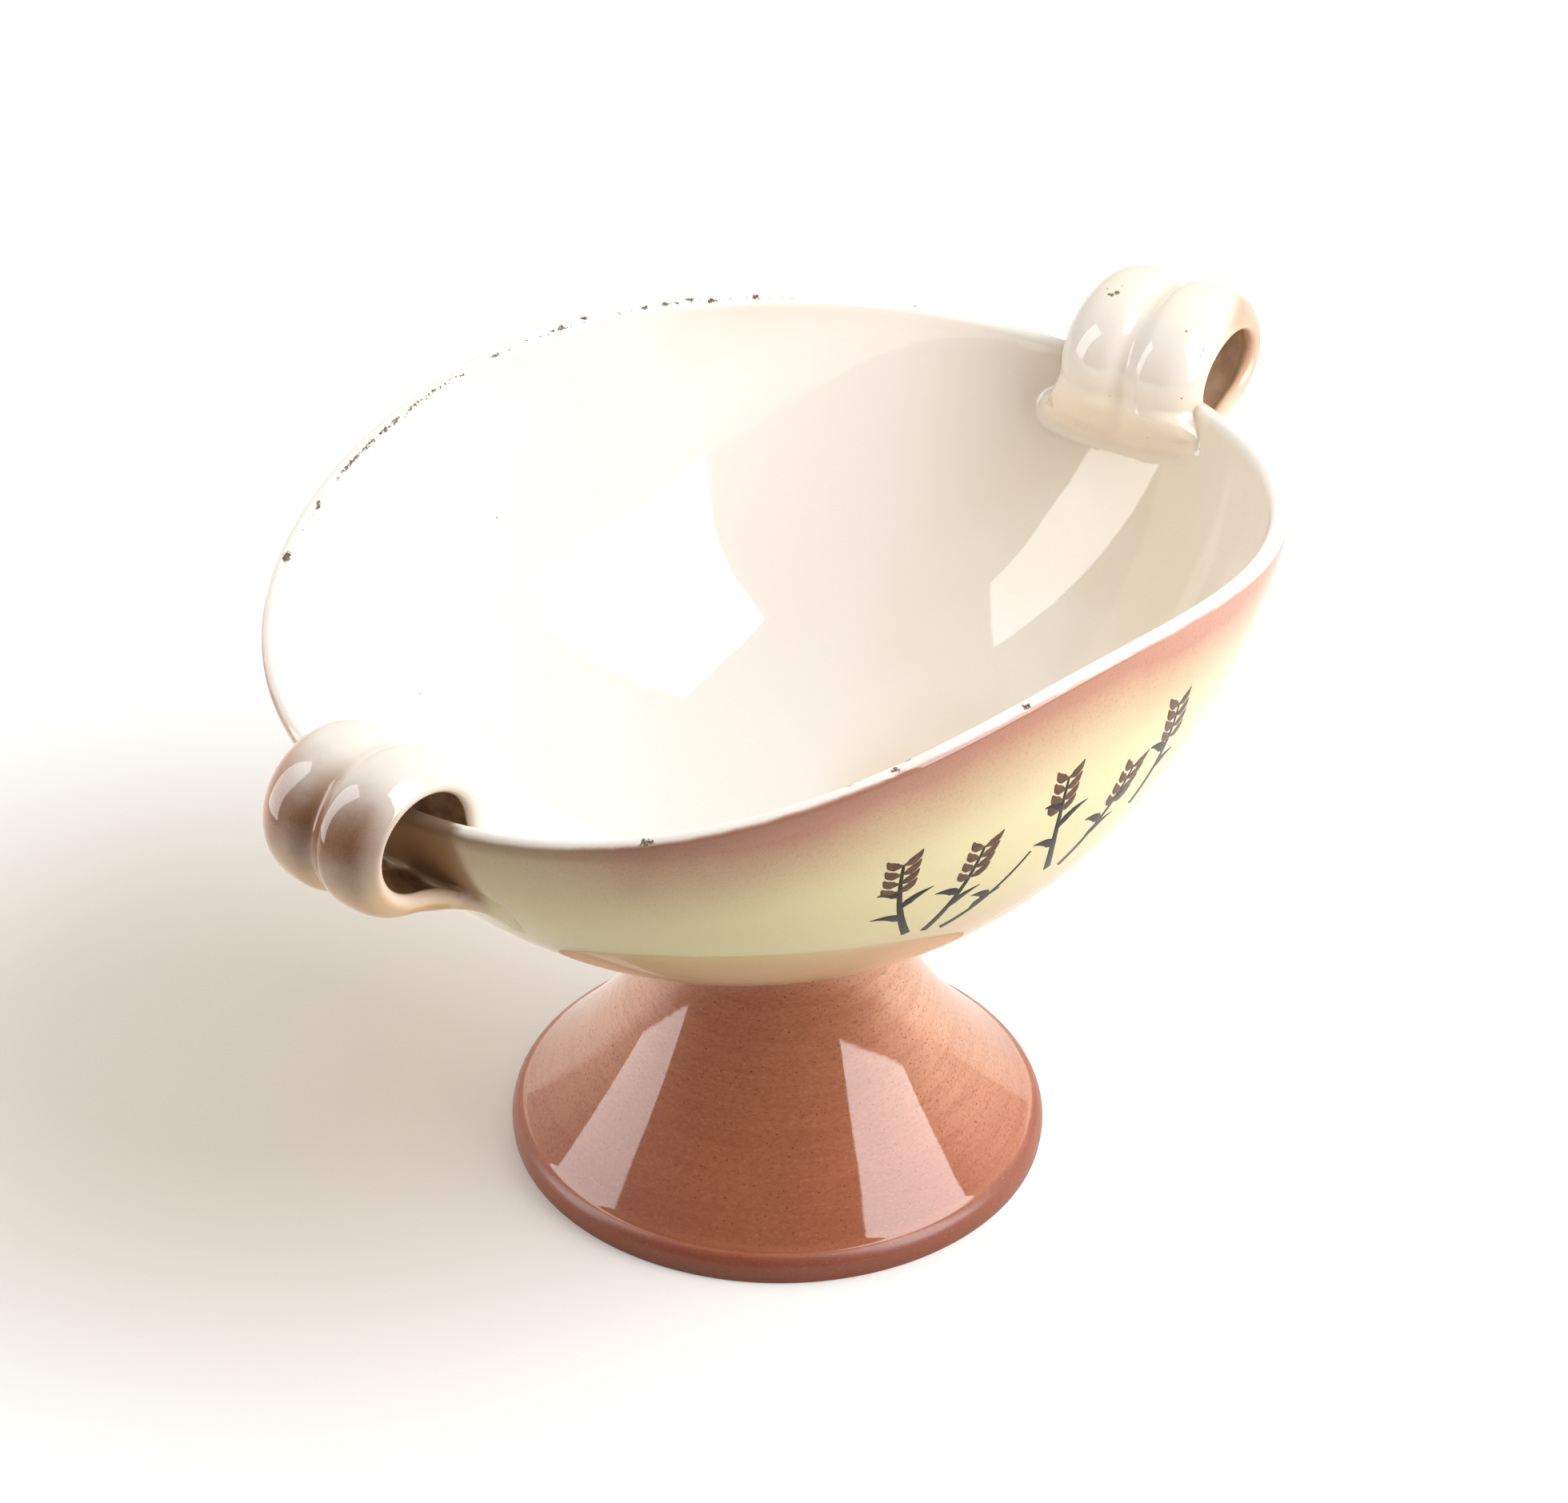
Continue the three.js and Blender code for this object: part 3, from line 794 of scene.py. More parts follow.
class Nodes:
    """The nodes of the world or of a glaze."""

    def __init__(self, owner, last):
        owner.use_nodes = True
        self.tree = owner.node_tree
        self.last = self.tree.nodes[last]

    def put(self, socket, value):
        if isinstance(value, Level):
            self.tree.links.new(value.socket, socket)
        elif isinstance(value, tuple) and socket.type == "RGBA":
            socket.default_value = (*value, 1)
        else:
            socket.default_value = value

    def feed(self, node, inputs):
        for name, value in inputs.items():
            self.put(node.inputs[name], value)

    def node(self, kind, output, inputs=None, **settings):
        """The level that a new node puts out, from its inputs and settings."""
        node = self.tree.nodes.new(f"ShaderNode{kind}")
        for name, value in settings.items():
            setattr(node, name, value)
        self.feed(node, inputs or {})
        return Level(self, node.outputs[output])

    def math(self, operation, *values):
        return self.node("Math", 0, dict(enumerate(values)), operation=operation)

    def vector(self, operation, *values):
        output = "Value" if operation in ("DISTANCE", "DOT_PRODUCT") else "Vector"
        return self.node("VectorMath", output, dict(enumerate(values)), operation=operation)

    def step(self, value, low, high, kind="SMOOTHSTEP", ends=(0, 1)):
        """From 0 at low to 1 at high, or between other ends. Low may also be the greater."""
        (low, first), (high, last) = sorted(zip((low, high), ends))
        return self.node("MapRange", "Result", {
            "Value": value, "From Min": low, "From Max": high, "To Min": first, "To Max": last,
        }, interpolation_type=kind)

    def mix(self, share, below, above):
        inputs = {"Factor": share, "A": below, "B": above}
        return self.node("Mix", "Result", inputs, data_type="RGBA")

    def layers(self, colour, *coats):
        """A colour under coats, each of them a share and its own colour."""
        for share, tint in coats:
            colour = self.mix(share, colour, tint)
        return colour


class Glaze(Nodes):
    """A glaze over clay, built up from sums over the piece's own measures."""

    def __init__(self, name):
        self.material = bpy.data.materials.new(name)
        super().__init__(self.material, "Principled BSDF")
        self.place = self.attribute("place", "Vector")

    def attribute(self, name, output="Fac"):
        return self.node("Attribute", output, attribute_name=name)

    def noise(self, size, detail=2.0, rough=0.5, squash=(1, 1, 1)):
        """Noise with lumps of about a size in millimetres, squashed along the axes."""
        place = self.vector("MULTIPLY", self.place, squash)
        inputs = {"Scale": 1 / size, "Detail": detail, "Roughness": rough, "Vector": place}
        return self.node("TexNoise", 0, inputs)

    def specks(self, size, share, radius):
        """Scattered round specks of a radius, one in the share of cells that has one."""
        cells = self.node("TexVoronoi", "Color", {"Scale": 1 / size, "Vector": self.place})
        draw = self.node("SeparateColor", 0, {0: cells})
        near = self.step(cells.twin("Distance"), 1.3 * radius / size, 0.7 * radius / size)
        return self.math("LESS_THAN", draw, share) * near

    def spot(self, place, radius):
        """1 within a ragged radius of a place."""
        distance = self.vector("DISTANCE", self.place, place)
        ragged = distance + (self.noise(radius, 2) - 0.5) * (1.2 * radius)
        return self.step(ragged, 1.1 * radius, 0.7 * radius)

    def toward(self, turn):
        """1 on the side of the axis that faces an angle in degrees, and -1 on the other."""
        away = self.vector("NORMALIZE", self.vector("MULTIPLY", self.place, (1, 1, 0)))
        aim = (math.cos(math.radians(turn)), math.sin(math.radians(turn)), 0)
        return self.vector("DOT_PRODUCT", away, aim)

    def height(self):
        return self.node("SeparateXYZ", "Z", {0: self.place})

    def finish(self, colour, rough, height=None, ior=GLAZE_IOR):
        """Set the colour, the roughness and the height of the surface in millimetres."""
        self.feed(self.last, {"Base Color": colour, "Roughness": rough, "IOR": ior})
        if height is not None:
            bump = self.node("Bump", "Normal", {"Distance": MM, "Height": height})
            self.feed(self.last, {"Normal": bump})
        return self.material


def rgb(*values):
    """A colour from its values of 0 to 255 on a screen."""
    shares = [value / 255 for value in values]
    return tuple(s / 12.92 if s <= 0.04045 else ((s + 0.055) / 1.055) ** 2.4 for s in shares)


def gloss(g, dull=0.0):
    """Roughness of the glaze, with a few duller clouds."""
    return g.step(g.noise(11, 3), 0.45, 0.75) * 0.03 + GLOSS + dull


def skin(g):
    """Height of the glaze, which sags in broad waves and has a fine orange peel."""
    return g.noise(26, 1.5, 0.4) * 0.16 + g.noise(3.2, 2, 0.5) * 0.006


def inside_colour(g, below):
    """Ivory, creamier by the right handle, partly as painted warm shade from light bounced in the
    bowl, with a faint blush under the rim.
    """
    # Painted warm shade, with a creamier glaze, on the inner wall by the right handle
    cream_and_painted_shade = g.step(g.toward(CREAM_AND_SHADE_SIDE), 0.55, 0.98) * g.step(g.noise(60, 2), 0.2, 0.6)
    blush = g.step(below, -34, -2) * g.step(g.noise(38, 3, 0.5), 0.35, 0.7) * 0.45
    return g.layers(IVORY, (cream_and_painted_shade, IVORY_CREAM_AND_SHADE), (blush, IVORY_BLUSH))


def outside_colour(g, below):
    """Cream, pinker low down, with terracotta sprayed on from the rim, browner at the front."""
    depth = below + (g.noise(38, 3, 0.5) - 0.5) * 12
    broad = g.step(depth, SPRAY_DEPTH, 2) * SPRAY_SHARE
    narrow = g.math("POWER", math.e, (depth - 4) * (-1 / SPRAY_FADE)) * 0.4
    spared = 1 - g.step(g.toward(SPARED_SIDE), 0.9, 0.985) * 0.6
    spray = g.math("MINIMUM", broad + narrow, 1) * spared
    terracotta = g.mix(g.step(g.toward(SPRAY_SIDE), -0.1, 0.75), SPRAY, SPRAY_DUSK)
    low = g.step(g.height(), 123, 112) * 0.42
    mist = g.step(g.noise(0.7, 3, 0.8), 0.48, 0.7) * (spray * 0.34 + 0.03)
    return g.layers(CREAM, (low, CREAM_LOW), (spray, terracotta), (mist, SPRAY_BROWN))


def tunnel_shade(g, below, name):
    """How far the wall and the rim under a handle's strap get painted shade over a browner, duller
    glaze.
    """
    spec = HANDLES[name]
    facing = g.toward(spec["seat"])
    shades = []
    for past_strap, depths in TUNNEL_SIDES:
        sides = [math.cos((spec["width"] / 2 + past) / (BOWL_LENGTH / 2)) for past in past_strap]
        shades.append(g.step(facing, *sides) * g.step(below, *depths))
    shade = g.math("MAXIMUM", *shades) * g.step(below, *TUNNEL_DEPTH)
    return shade * HANDLE_LOOKS[name]["tunnel_share"]


def wall_colour(g):
    """The bowl's colour, where below_rim is the depth outside, or less than 0 inside."""
    below = g.attribute("below_rim")
    front = g.step(g.toward(SPRAY_SIDE), 0, 0.9)
    ragged = below + (g.noise(8, 3, 0.55) - 0.5) * 1.1 + front * 0.9
    lip = g.step(ragged, 3.4, 2) * g.step(ragged, -5, -2)
    line = g.step(ragged, 2.4, 3.4) * g.step(ragged, 8, 4) * front * 0.45
    colour = g.mix(g.step(below, -1, 1), inside_colour(g, below), outside_colour(g, below))
    colour = g.layers(colour, (lip * 0.9, LIP_WHITE), (line, SPRAY_BROWN))
    # Painted shade under each strap over a browner glaze, darker on the rim and inside
    for name, look in HANDLE_LOOKS.items():
        tint = g.mix(g.step(below, 4, -1), look["tunnel_glaze_and_shade"], look["deep"])
        colour = g.mix(tunnel_shade(g, below, name), colour, tint)
    return colour


def wall_gloss(g):
    """The bowl's roughness, with a duller glaze under the straps."""
    below = g.attribute("below_rim")
    right, left = [tunnel_shade(g, below, name) for name in HANDLES]
    return gloss(g, (right + left) * TUNNEL_DULL)


def bowl_glaze():
    g = Glaze("bowl_glaze")
    wear = g.attribute("wear")
    flake = wear + (g.noise(1.1, 4, 0.8) - 0.5) * 3
    chip = g.step(flake, 0.6, 0.66) * g.step(wear, 0.05, 0.2)
    halo = g.step(flake, 0.35, 0.6) * g.step(wear, 0, 0.2)
    clay = g.mix(g.step(g.noise(0.6, 3), 0.4, 0.62), CHIP_DARK, CHIP_BODY)
    pits = g.math("MINIMUM", g.specks(9, 0.06, 0.3) + g.specks(6, 0.05, 0.18), 1)
    colour = g.layers(
        wall_colour(g), (pits * 0.7, SPECK),
        *[(g.spot(place, radius), tint) for place, radius, tint in WALL_SPECKS],
        (halo * 0.3, CHIP_HALO), (chip, clay),
    )
    return g.finish(colour, wall_gloss(g) + chip * 0.6, skin(g) - chip * 0.2 - pits * 0.05)


def foot_grain(g):
    return g.noise(0.75, 3, 0.8, (0.6, 0.6, 1.5))


def foot_glaze():
    """Brown and brushed in front, peach above and behind, with a darker band. The browner, darker
    front is painted shade, and the peach reaching lower off the front is partly painted light.
    """
    g = Glaze("foot_glaze")
    outside, z = g.attribute("outside"), g.height()
    cloud, grain = g.noise(24, 3, 0.55), foot_grain(g)
    brushed = g.noise(9, 5, 0.7, (0.2, 0.2, 5))
    above_band = z + (g.noise(9, 3) - 0.5) * 1.2 - BAND_HEIGHT
    band = g.step(above_band, 0.8, -0.1)
    edge = g.step(above_band, -0.4, 0.5) * g.step(above_band, 2.2, 0.7)
    # Painted shade: toward the front, under the bowl, the foot is browner and darker
    front = g.step(g.toward(FOOT_SHADE_SIDE), 0.3, 0.95)
    peach = g.step(z + (cloud - 0.5) * 22 - front * 22, -10, 52)
    chips = g.specks(7, 0.12, 0.9) * g.step(z, 1.6, 0.6)
    # The front's weaker peach, darker low part and darker band are painted shade
    colour = g.layers(
        FOOT_BROWN,
        (peach * (1 - front * 0.75), FOOT_PEACH),
        (g.step(brushed, 0.42, 0.62) * 0.2, FOOT_DEEP),
        (g.step(cloud, 0.48, 0.7) * 0.2, FOOT_DEEP),
        (g.step(z, 22, 8) * front * 0.4, FOOT_DEEP),
        (band * (front * 0.16 + 0.72), FOOT_BAND),
        (g.step(grain, 0.5, 0.7) * 0.65, FOOT_DEEP),
        (g.step(grain, 0.46, 0.28) * 0.22, FOOT_PEACH),
        (g.specks(1.5, 0.45, 0.2) * 0.9, FOOT_SPECK),
        (edge * 0.3, FOOT_EDGE),
        (chips, CHIP_BODY),
        (1 - outside, FOOT_HOLLOW),
    )
    rings = g.noise(20, 4, 0.6, (0.12, 0.12, 4)) * 0.02
    height = skin(g) + rings + grain * 0.003 - chips * 0.4
    return g.finish(colour, gloss(g) + band * 0.3 + (1 - outside) * 0.4, height)


def strap_colour(g, look):
    """A handle's colour: ivory, shaded by the airbrush where the strap turns down outside, with
    painted shade inside the loop.
    """
    run, across, side = [g.attribute(name) for name in ("run", "across", "side")]
    cloud, fine = g.noise(9, 3, 0.55), g.noise(0.6, 3, 0.8)
    wander = run + (cloud - 0.5) * 7
    aside = g.math("ABSOLUTE", across)
    starts, ends = look["shade_from"], look["shade_to"]
    start = wander + g.step(across, -0.4, -1) * 4 + g.step(aside, 0.25, 0) * 3
    shade = g.step(start, starts, starts + SHADE_FADE) * g.step(wander, ends + SHADE_FADE, ends)
    shade *= 1 - g.step(aside, 0.75, 1) * 0.35 - g.step(across, 0.1, -0.5) * 0.1
    shade *= g.step(fine, 0.4, 0.7) * 0.08 + 0.96
    dab = g.step(aside, 0.3, 0.05) * g.step(run, 42, 47) * g.step(run, 58, 50)
    blush = g.step(g.step(run, 30, 52) * 0.3 - across, *look["blush_from"])
    blush *= g.step(run, 8, 18) * g.step(run, 84, 66)
    edge = g.step(g.math("ABSOLUTE", side), 1, 0.6) * g.step(run, 14, 34)
    # Painted shade over a browner glaze on the strap's face inside the loop
    tunnel_glaze_and_shade = g.mix(g.step(g.noise(6, 3, 0.6), 0.35, 0.65), look["tunnel_glaze_and_shade"], look["deep"])
    line = g.step(side, -0.25, -0.45) * g.step(side, -0.85, -0.6) * g.step(cloud, 0.35, 0.55)
    return g.layers(
        look["leg"],
        (g.step(wander, 4, 30), look["top"]),
        (g.step(wander, ends, ends + SHADE_FADE), look["under"]),
        (shade * look["share"], look["shade"]),
        (dab * look["dab"], DAB),
        (blush * look["blush_share"], look["blush"]),
        (edge * 0.85, look["edge"]),
        (g.step(side, -0.5, -0.85), tunnel_glaze_and_shade),
        (line * 0.6, look["line"]),
        (g.specks(4, 0.08, 0.2) * 0.7, SPECK),
    )


def strap_gloss(g):
    return gloss(g, g.step(g.attribute("side"), -0.4, -0.9) * TUNNEL_DULL)


def strap_spots(g, name, kind):
    """The chips or the dirt of a handle."""
    return [
        g.spot(strap_place(HANDLES[name], run, across), radius)
        for run, across, radius in HANDLE_LOOKS[name][kind]
    ]


def handle_glaze(name, look):
    g = Glaze(f"{name}_glaze")
    chips = [(spot, CHIP_BODY) for spot in strap_spots(g, name, "chips")]
    return g.finish(g.layers(strap_colour(g, look), *chips), strap_gloss(g), skin(g))


def slip_glaze(name, look):
    """The slip at a root, coloured as the strap on one side and as the wall on the other."""
    g = Glaze(f"{name}_slip_glaze")
    on_wall = g.step(g.attribute("on_wall") + (g.noise(6, 3) - 0.5) * 0.3, 0.25, 0.75)
    patchy = g.step(g.noise(1.1, 4, 0.65), 0.35, 0.6)
    dirt = [(spot * patchy * 0.7, CHIP_HALO) for spot in strap_spots(g, name, "dirt")]
    colour = g.layers(strap_colour(g, look), (on_wall, wall_colour(g)), *dirt)
    return g.finish(colour, g.math("MAXIMUM", strap_gloss(g), wall_gloss(g)), skin(g))


def neck_glaze():
    g = Glaze("neck_glaze")
    dark = g.step(foot_grain(g), 0.5, 0.72) * 0.35
    bowl = g.step(g.height(), BOWL_BOTTOM - 2, BOWL_BOTTOM + 1.5)
    return g.finish(g.layers(FOOT_PEACH, (dark, FOOT_DEEP), (bowl, SPRAY)), gloss(g), skin(g))


def enamel(name, colour, thin):
    g = Glaze(name)
    tone = g.step(g.noise(2.2, 4, 0.6), 0.35, 0.7)
    return g.finish(g.mix(tone * 0.3, colour, thin), tone * 0.08 + 0.08, ior=ENAMEL_IOR)


# Colours, as on a screen
IVORY = rgb(246, 239, 231)
# Creamier ivory, darker and warmer as painted shade inside by the right handle
IVORY_CREAM_AND_SHADE = rgb(236, 221, 197)
IVORY_BLUSH = rgb(240, 222, 210)
LIP_WHITE = rgb(248, 241, 231)
CREAM = rgb(246, 234, 186)
CREAM_LOW = rgb(248, 196, 178)
SPRAY = rgb(200, 141, 120)
SPRAY_DUSK = rgb(190, 135, 113)
SPRAY_BROWN = rgb(150, 106, 86)
SPECK = rgb(92, 70, 52)
CHIP_DARK = rgb(70, 58, 44)
CHIP_BODY = rgb(132, 108, 84)
CHIP_HALO = rgb(196, 172, 144)
FOOT_BROWN = rgb(174, 106, 78)
FOOT_DEEP = rgb(144, 82, 60)
FOOT_PEACH = rgb(224, 166, 132)
FOOT_BAND = rgb(144, 72, 52)
FOOT_EDGE = rgb(200, 128, 96)
FOOT_SPECK = rgb(104, 60, 46)
FOOT_HOLLOW = rgb(196, 150, 122)
DAB = rgb(222, 190, 156)
ENAMEL_INK = rgb(22, 25, 29)
ENAMEL_INK_THIN = rgb(84, 88, 88)
ENAMEL_RUST = rgb(92, 62, 50)
ENAMEL_RUST_THIN = rgb(156, 118, 96)

# Directions in degrees where the inside is creamier, partly as painted warm shade, the spray
# browner, the spray weaker, and the foot browner and darker with painted shade
CREAM_AND_SHADE_SIDE = -22
SPRAY_SIDE = -158
SPARED_SIDE = -174
FOOT_SHADE_SIDE = -140

# The painted shade over a browner glaze under the straps, outside and inside: how far past the
# strap's edge it ends and is full, and at which depths it begins and is full; and the depths where
# it fades out
TUNNEL_SIDES = [((7, 3), (-1.5, 0.5)), ((5, 2), (-9, -5))]
TUNNEL_DEPTH = (40, 24)
SHADE_FADE = 14

# Specks under the glaze inside the bowl: place, radius and colour
WALL_SPECKS = [
    ((43.6, 87, 137), 0.35, SPECK),
    ((26, 41, 83), 0.6, rgb(196, 104, 52)),
    ((108, 52, 155), 0.4, rgb(120, 70, 44)),
    ((-43.5, 65, 105), 0.4, rgb(176, 130, 40)),
]

# The handles' colours; shade_from and shade_to are lengths along the strap, the tunnel colours and
# deep are painted shade under and inside the strap over a browner glaze, and each chip or patch of
# dirt has its length along, place across and radius
HANDLE_LOOKS = {
    "handle_right": dict(
        leg=rgb(247, 231, 208), top=rgb(237, 231, 223), under=rgb(243, 229, 210),
        shade=rgb(226, 206, 190), shade_from=14, shade_to=22, share=0.2, dab=0,
        blush=rgb(232, 168, 140), blush_from=(0.94, 1.16), blush_share=0.95,
        edge=rgb(240, 200, 174), line=rgb(246, 214, 176),
        tunnel_glaze_and_shade=rgb(226, 202, 172), deep=rgb(204, 176, 144), tunnel_share=0.3,
        chips=[
            (32, 0.52, 0.75), (31.8, 0.57, 0.6), (31.5, 0.62, 0.5), (32.6, 0.68, 0.25),
            (34, 0.5, 0.2), (29, -0.68, 0.3), (27, -0.9, 0.3), (26.2, -0.91, 0.22),
            (18, -0.86, 0.25),
        ],
        dirt=[(6, 1, 3)],
    ),
    "handle_left": dict(
        leg=rgb(236, 227, 214), top=rgb(232, 222, 210), under=rgb(250, 213, 172),
        shade=rgb(152, 104, 76), shade_from=44, shade_to=58, share=1, dab=0.2,
        blush=rgb(214, 164, 138), blush_from=(0.84, 1.2), blush_share=0.7,
        edge=rgb(238, 216, 200), line=rgb(244, 216, 160),
        tunnel_glaze_and_shade=rgb(168, 130, 92), deep=rgb(120, 88, 58), tunnel_share=0.9,
        chips=[(61, 0.1, 0.25)], dirt=[(2, 1, 2)],
    ),
}


def wall_place(turn_degrees, below):
    """A place on the outer wall, at an angle and a depth under the crest, and its normal."""
    theta = np.array(math.radians(turn_degrees))
    steps = np.linspace(1, 0.3, 400)
    depth = lengths_along(wall_point(theta, steps)) + LIP_RADIUS * math.pi / 2
    step = float(np.interp(below, depth, steps))
    return wall_point(theta, step), wall_frame(theta, step)[1]


def stroke(points, widths, count=26):
    """A brush stroke on the wall: a strip over a curve of angles and depths, with widths in
    millimetres along it, as points and faces."""
    spots = [wall_place(turn, below) for turn, below in bezier(points, count)]
    places, normals = [np.array(part) for part in zip(*spots)]
    sideways = unit(np.cross(unit(np.gradient(places, axis=0)), normals))
    width = np.interp(np.linspace(0, 1, count), np.linspace(0, 1, len(widths)), widths)[:, None]
    rows = []
    for share in (-0.5, -0.25, 0, 0.25, 0.5):
        lift = ENAMEL_LIFT * (1 - (2 * share) ** 4) + ENAMEL_EDGE
        rows.append(places + sideways * width * share + normals * lift)
    points = np.stack(rows, 1).reshape(-1, 3)
    i, j = np.meshgrid(np.arange(count - 1), np.arange(4), indexing="ij")
    first = (i * 5 + j).ravel()
    return points, np.stack([first, first + 5, first + 6, first + 1], 1)


def make_strokes(name, strokes, material):
    starts = np.cumsum([0] + [len(points) for points, _ in strokes])
    faces = [block + start for (_, block), start in zip(strokes, starts)]
    obj = make_piece(name, np.concatenate([points for points, _ in strokes]), faces)
    obj.data.materials.append(material)
    return obj


def sprig(root, tip, bend, leaves, head):
    """A stalk of grass from a root to a tip, with leaves to both sides and a seed head."""
    root, tip = np.array(root, float), np.array(tip, float)
    middle = (root + tip) / 2 + np.array(bend, float)
    ink = [stroke([root, middle, tip], STALK_WIDTHS)]
    line = bezier([root, middle, tip], 100)
    for share, side, length in leaves:
        foot_point = line[int(share * 99)]
        knee = foot_point + np.array([side * length * 0.12, -length * 0.5])
        end = foot_point + np.array([side * length * 0.55, -length * 0.62])
        ink.append(stroke([foot_point, knee, end], LEAF_WIDTHS, 18))
    rust = []
    if head:
        ahead = unit(tip - middle)
        for k in range(4):
            at = tip - ahead * k * SEED_LENGTH
            for side in (-1, 1):
                out = np.array([-ahead[1], ahead[0]]) * side
                end = at + ahead * SEED_LENGTH + out * 2.4
                rust.append(stroke([at, at + out * 1.7, end], SEED_WIDTHS, 10))
    return ink, rust


def make_decoration():
    """Sprigs of grass brushed on the outside of the bowl."""
    ink, rust = [sum(strokes, []) for strokes in zip(*(sprig(*plant) for plant in SPRIGS))]
    return [
        make_strokes("sprigs_ink", ink, enamel("ink", ENAMEL_INK, ENAMEL_INK_THIN)),
        make_strokes("sprigs_rust", rust, enamel("rust", ENAMEL_RUST, ENAMEL_RUST_THIN)),
    ]


# Thickness of a stroke of enamel over its edge, and of the edge; widths along the strokes
ENAMEL_LIFT = 0.05
ENAMEL_EDGE = 0.02
STALK_WIDTHS = [2.2, 1.5, 0.8]
LEAF_WIDTHS = [0.5, 2.8, 2, 0.3]
SEED_WIDTHS = [0.5, 2.6, 2.3, 0.4]
SEED_LENGTH = 3.2
# Root and tip as angle and depth under the rim, bend, leaves as place along the stalk, side
# and length, and whether it has a seed head
SPRIGS = [
    ([-116, 62], [-119, 30], [-2, 0], [(0.25, -1, 9), (0.45, 1, 8), (0.62, -1, 6)], True),
    ([-113, 64], [-107, 36], [1, 2], [(0.3, 1, 9), (0.5, -1, 7)], True),
    ([-110, 66], [-98, 47], [0, 6], [(0.35, 1, 8), (0.55, -1, 6)], False),
    ([-92, 60], [-94, 27], [-2, 0], [(0.3, -1, 8), (0.5, 1, 9), (0.7, -1, 6)], True),
    ([-89, 62], [-80, 36], [1, 3], [(0.3, 1, 9), (0.5, -1, 7), (0.66, 1, 6)], True),
    ([-76, 52], [-72, 24], [2, 2], [(0.35, 1, 7), (0.55, -1, 7)], True),
]


def make_light(name, place, size, level, aim=(0, 0, 90), shows=True):
    """A soft panel at a place in millimetres, whose level is its brightness beside white."""
    data = bpy.data.lights.new(name, "AREA")
    data.shape = "RECTANGLE"
    data.size, data.size_y = size[0] * MM, size[1] * MM
    data.energy = level * math.pi * data.size * data.size_y
    light = add_object(name, data)
    light.location = to_frame(place)
    toward = Vector(to_frame(aim)) - Vector(to_frame(place))
    light.rotation_euler = toward.to_track_quat("-Z", "Y").to_euler()
    light.visible_camera = False
    light.visible_glossy = shows


def make_floor():
    """A pale floor that is white to the camera away from the bowl and keeps its shadow, with a
    painted warm shade round a place beside the foot.
    """
    mesh = bpy.data.meshes.new("floor")
    corners = [(-1, -1, 0), (1, -1, 0), (1, 1, 0), (-1, 1, 0)]
    mesh.from_pydata([Vector(corner) * FLOOR_REACH for corner in corners], [], [(0, 1, 2, 3)])
    floor = add_object("floor", mesh)
    g = Glaze("floor")
    camera_ray = g.node("LightPath", "Is Camera Ray")
    where = g.node("NewGeometry", "Position")
    from_shade = g.vector("DISTANCE", where, tuple(to_frame(PAINTED_SHADE_MIDDLE)))
    behind = g.vector("DOT_PRODUCT", where, VIEW_AWAY)
    # Painted shade: near its middle the seen floor is darker and warmer, and farther off it is
    # lifted to white
    lift = g.step(from_shade, *FLOOR_FADE, "LINEAR") * camera_ray * FLOOR_LIFT
    sheen = g.step(behind, *SHEEN_FADE) * camera_ray.twin("Is Glossy Ray") * SHEEN_LIFT
    seen = g.mix(g.step(from_shade, *PAINTED_SHADE_EDGE), FLOOR_PAINTED_SHADE, FLOOR_SEEN)
    g.feed(g.last, {
        "Base Color": g.mix(camera_ray, FLOOR, seen),
        "Emission Color": (1, 1, 1), "Emission Strength": lift + sheen,
        "Roughness": 0.9, "Specular IOR Level": 0,
    })
    mesh.materials.append(g.material)


def make_world():
    """A pale sweep behind the bowl and a dim room behind the camera."""
    world = bpy.data.worlds.new("world")
    bpy.context.scene.world = world
    g = Nodes(world, "Background")
    facing = g.vector("DOT_PRODUCT", g.node("TexCoord", "Generated"), VIEW_AWAY)
    room = g.step(facing, *ROOM_FADE, ends=(ROOM_LEVEL, SWEEP_LEVEL))
    seen = g.node("LightPath", "Is Camera Ray")
    g.feed(g.last, {"Color": (1, 1, 1), "Strength": g.step(seen, 0, 1, "LINEAR", (room, 1))})


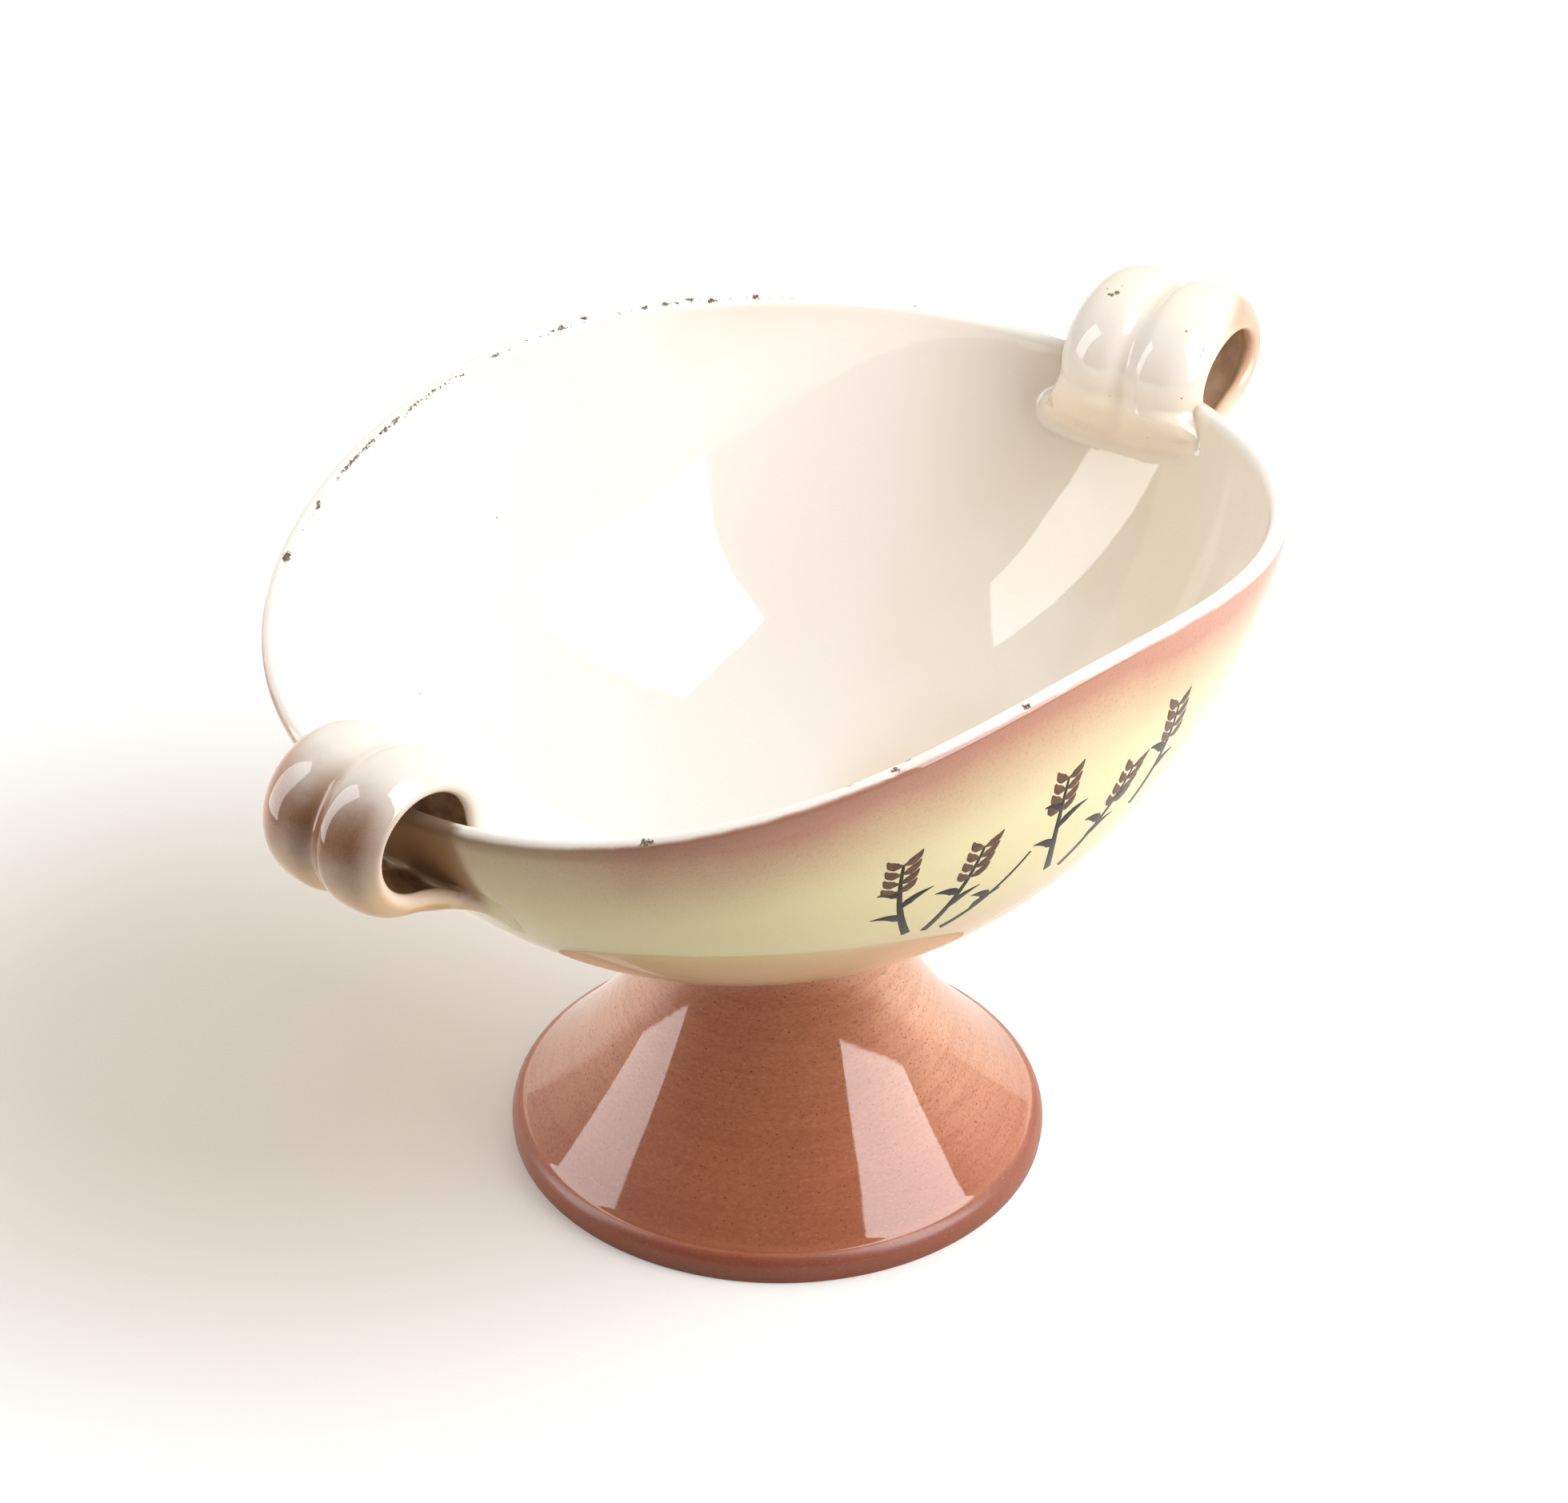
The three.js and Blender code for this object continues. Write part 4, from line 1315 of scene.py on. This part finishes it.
# The floor: its colour as it lights the object, as seen in the painted warm shade and as seen
# farther off, and how far it reaches in metres
FLOOR = (0.57, 0.54, 0.48)
FLOOR_PAINTED_SHADE = (0.7, 0.655, 0.58)
FLOOR_SEEN = (0.74, 0.74, 0.73)
FLOOR_REACH = 4
# Middle of the painted shade on the floor in millimetres, the distances in metres from it between
# which the seen floor is lifted to white, and the lift there
PAINTED_SHADE_MIDDLE = (-85, 118, 0)
PAINTED_SHADE_EDGE = (0.05, 0.19)
FLOOR_FADE = (0.04, 0.34)
FLOOR_LIFT = 0.5
# The same for the sheen of the floor in reflections, with distances behind the foot
VIEW_AWAY = (math.sin(CAMERA_TURN), math.cos(CAMERA_TURN), 0)
SHEEN_FADE = (-0.1, 0.12)
SHEEN_LIFT = 0.5
# How bright the world is behind the camera and behind the bowl, and the passage between them
ROOM_LEVEL = 0.06
SWEEP_LEVEL = 0.55
ROOM_FADE = (-0.7, 0.3)

make_camera()
bowl = make_bowl()
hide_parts("bowl")
foot = make_foot()
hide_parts("foot")
neck = make_neck_slip()
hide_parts("foot_slip_ring")
bowl.data.materials.append(bowl_glaze())
foot.data.materials.append(foot_glaze())
neck.data.materials.append(neck_glaze())
for name, spec in HANDLES.items():
    look = HANDLE_LOOKS[name]
    seam_glaze = slip_glaze(name, look)
    strap = make_handle(name, spec)
    strap.data.materials.append(handle_glaze(name, look))
    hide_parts(name)
    inner = make_root_slip(f"{name}_inner_fillet", spec, True)
    inner.data.materials.append(seam_glaze)
    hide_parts(f"{name}_inner_slip")
    outer = make_root_slip(f"{name}_outer_fillet", spec, False)
    outer.data.materials.append(seam_glaze)
    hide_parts(f"{name}_outer_slip")
for piece in make_decoration():
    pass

make_light("key", (1240, 175, 1250), (3200, 2000), 1.25, shows=False)
make_light("left_panel", (-415, 390, 505), (290, 900), 3.1, (0, 0, 500))
make_light("right_panel", (255, -625, 780), (600, 1200), 4.8, (0, 0, 600))
make_floor()
make_world()
bpy.context.scene.view_settings.view_transform = "Standard"
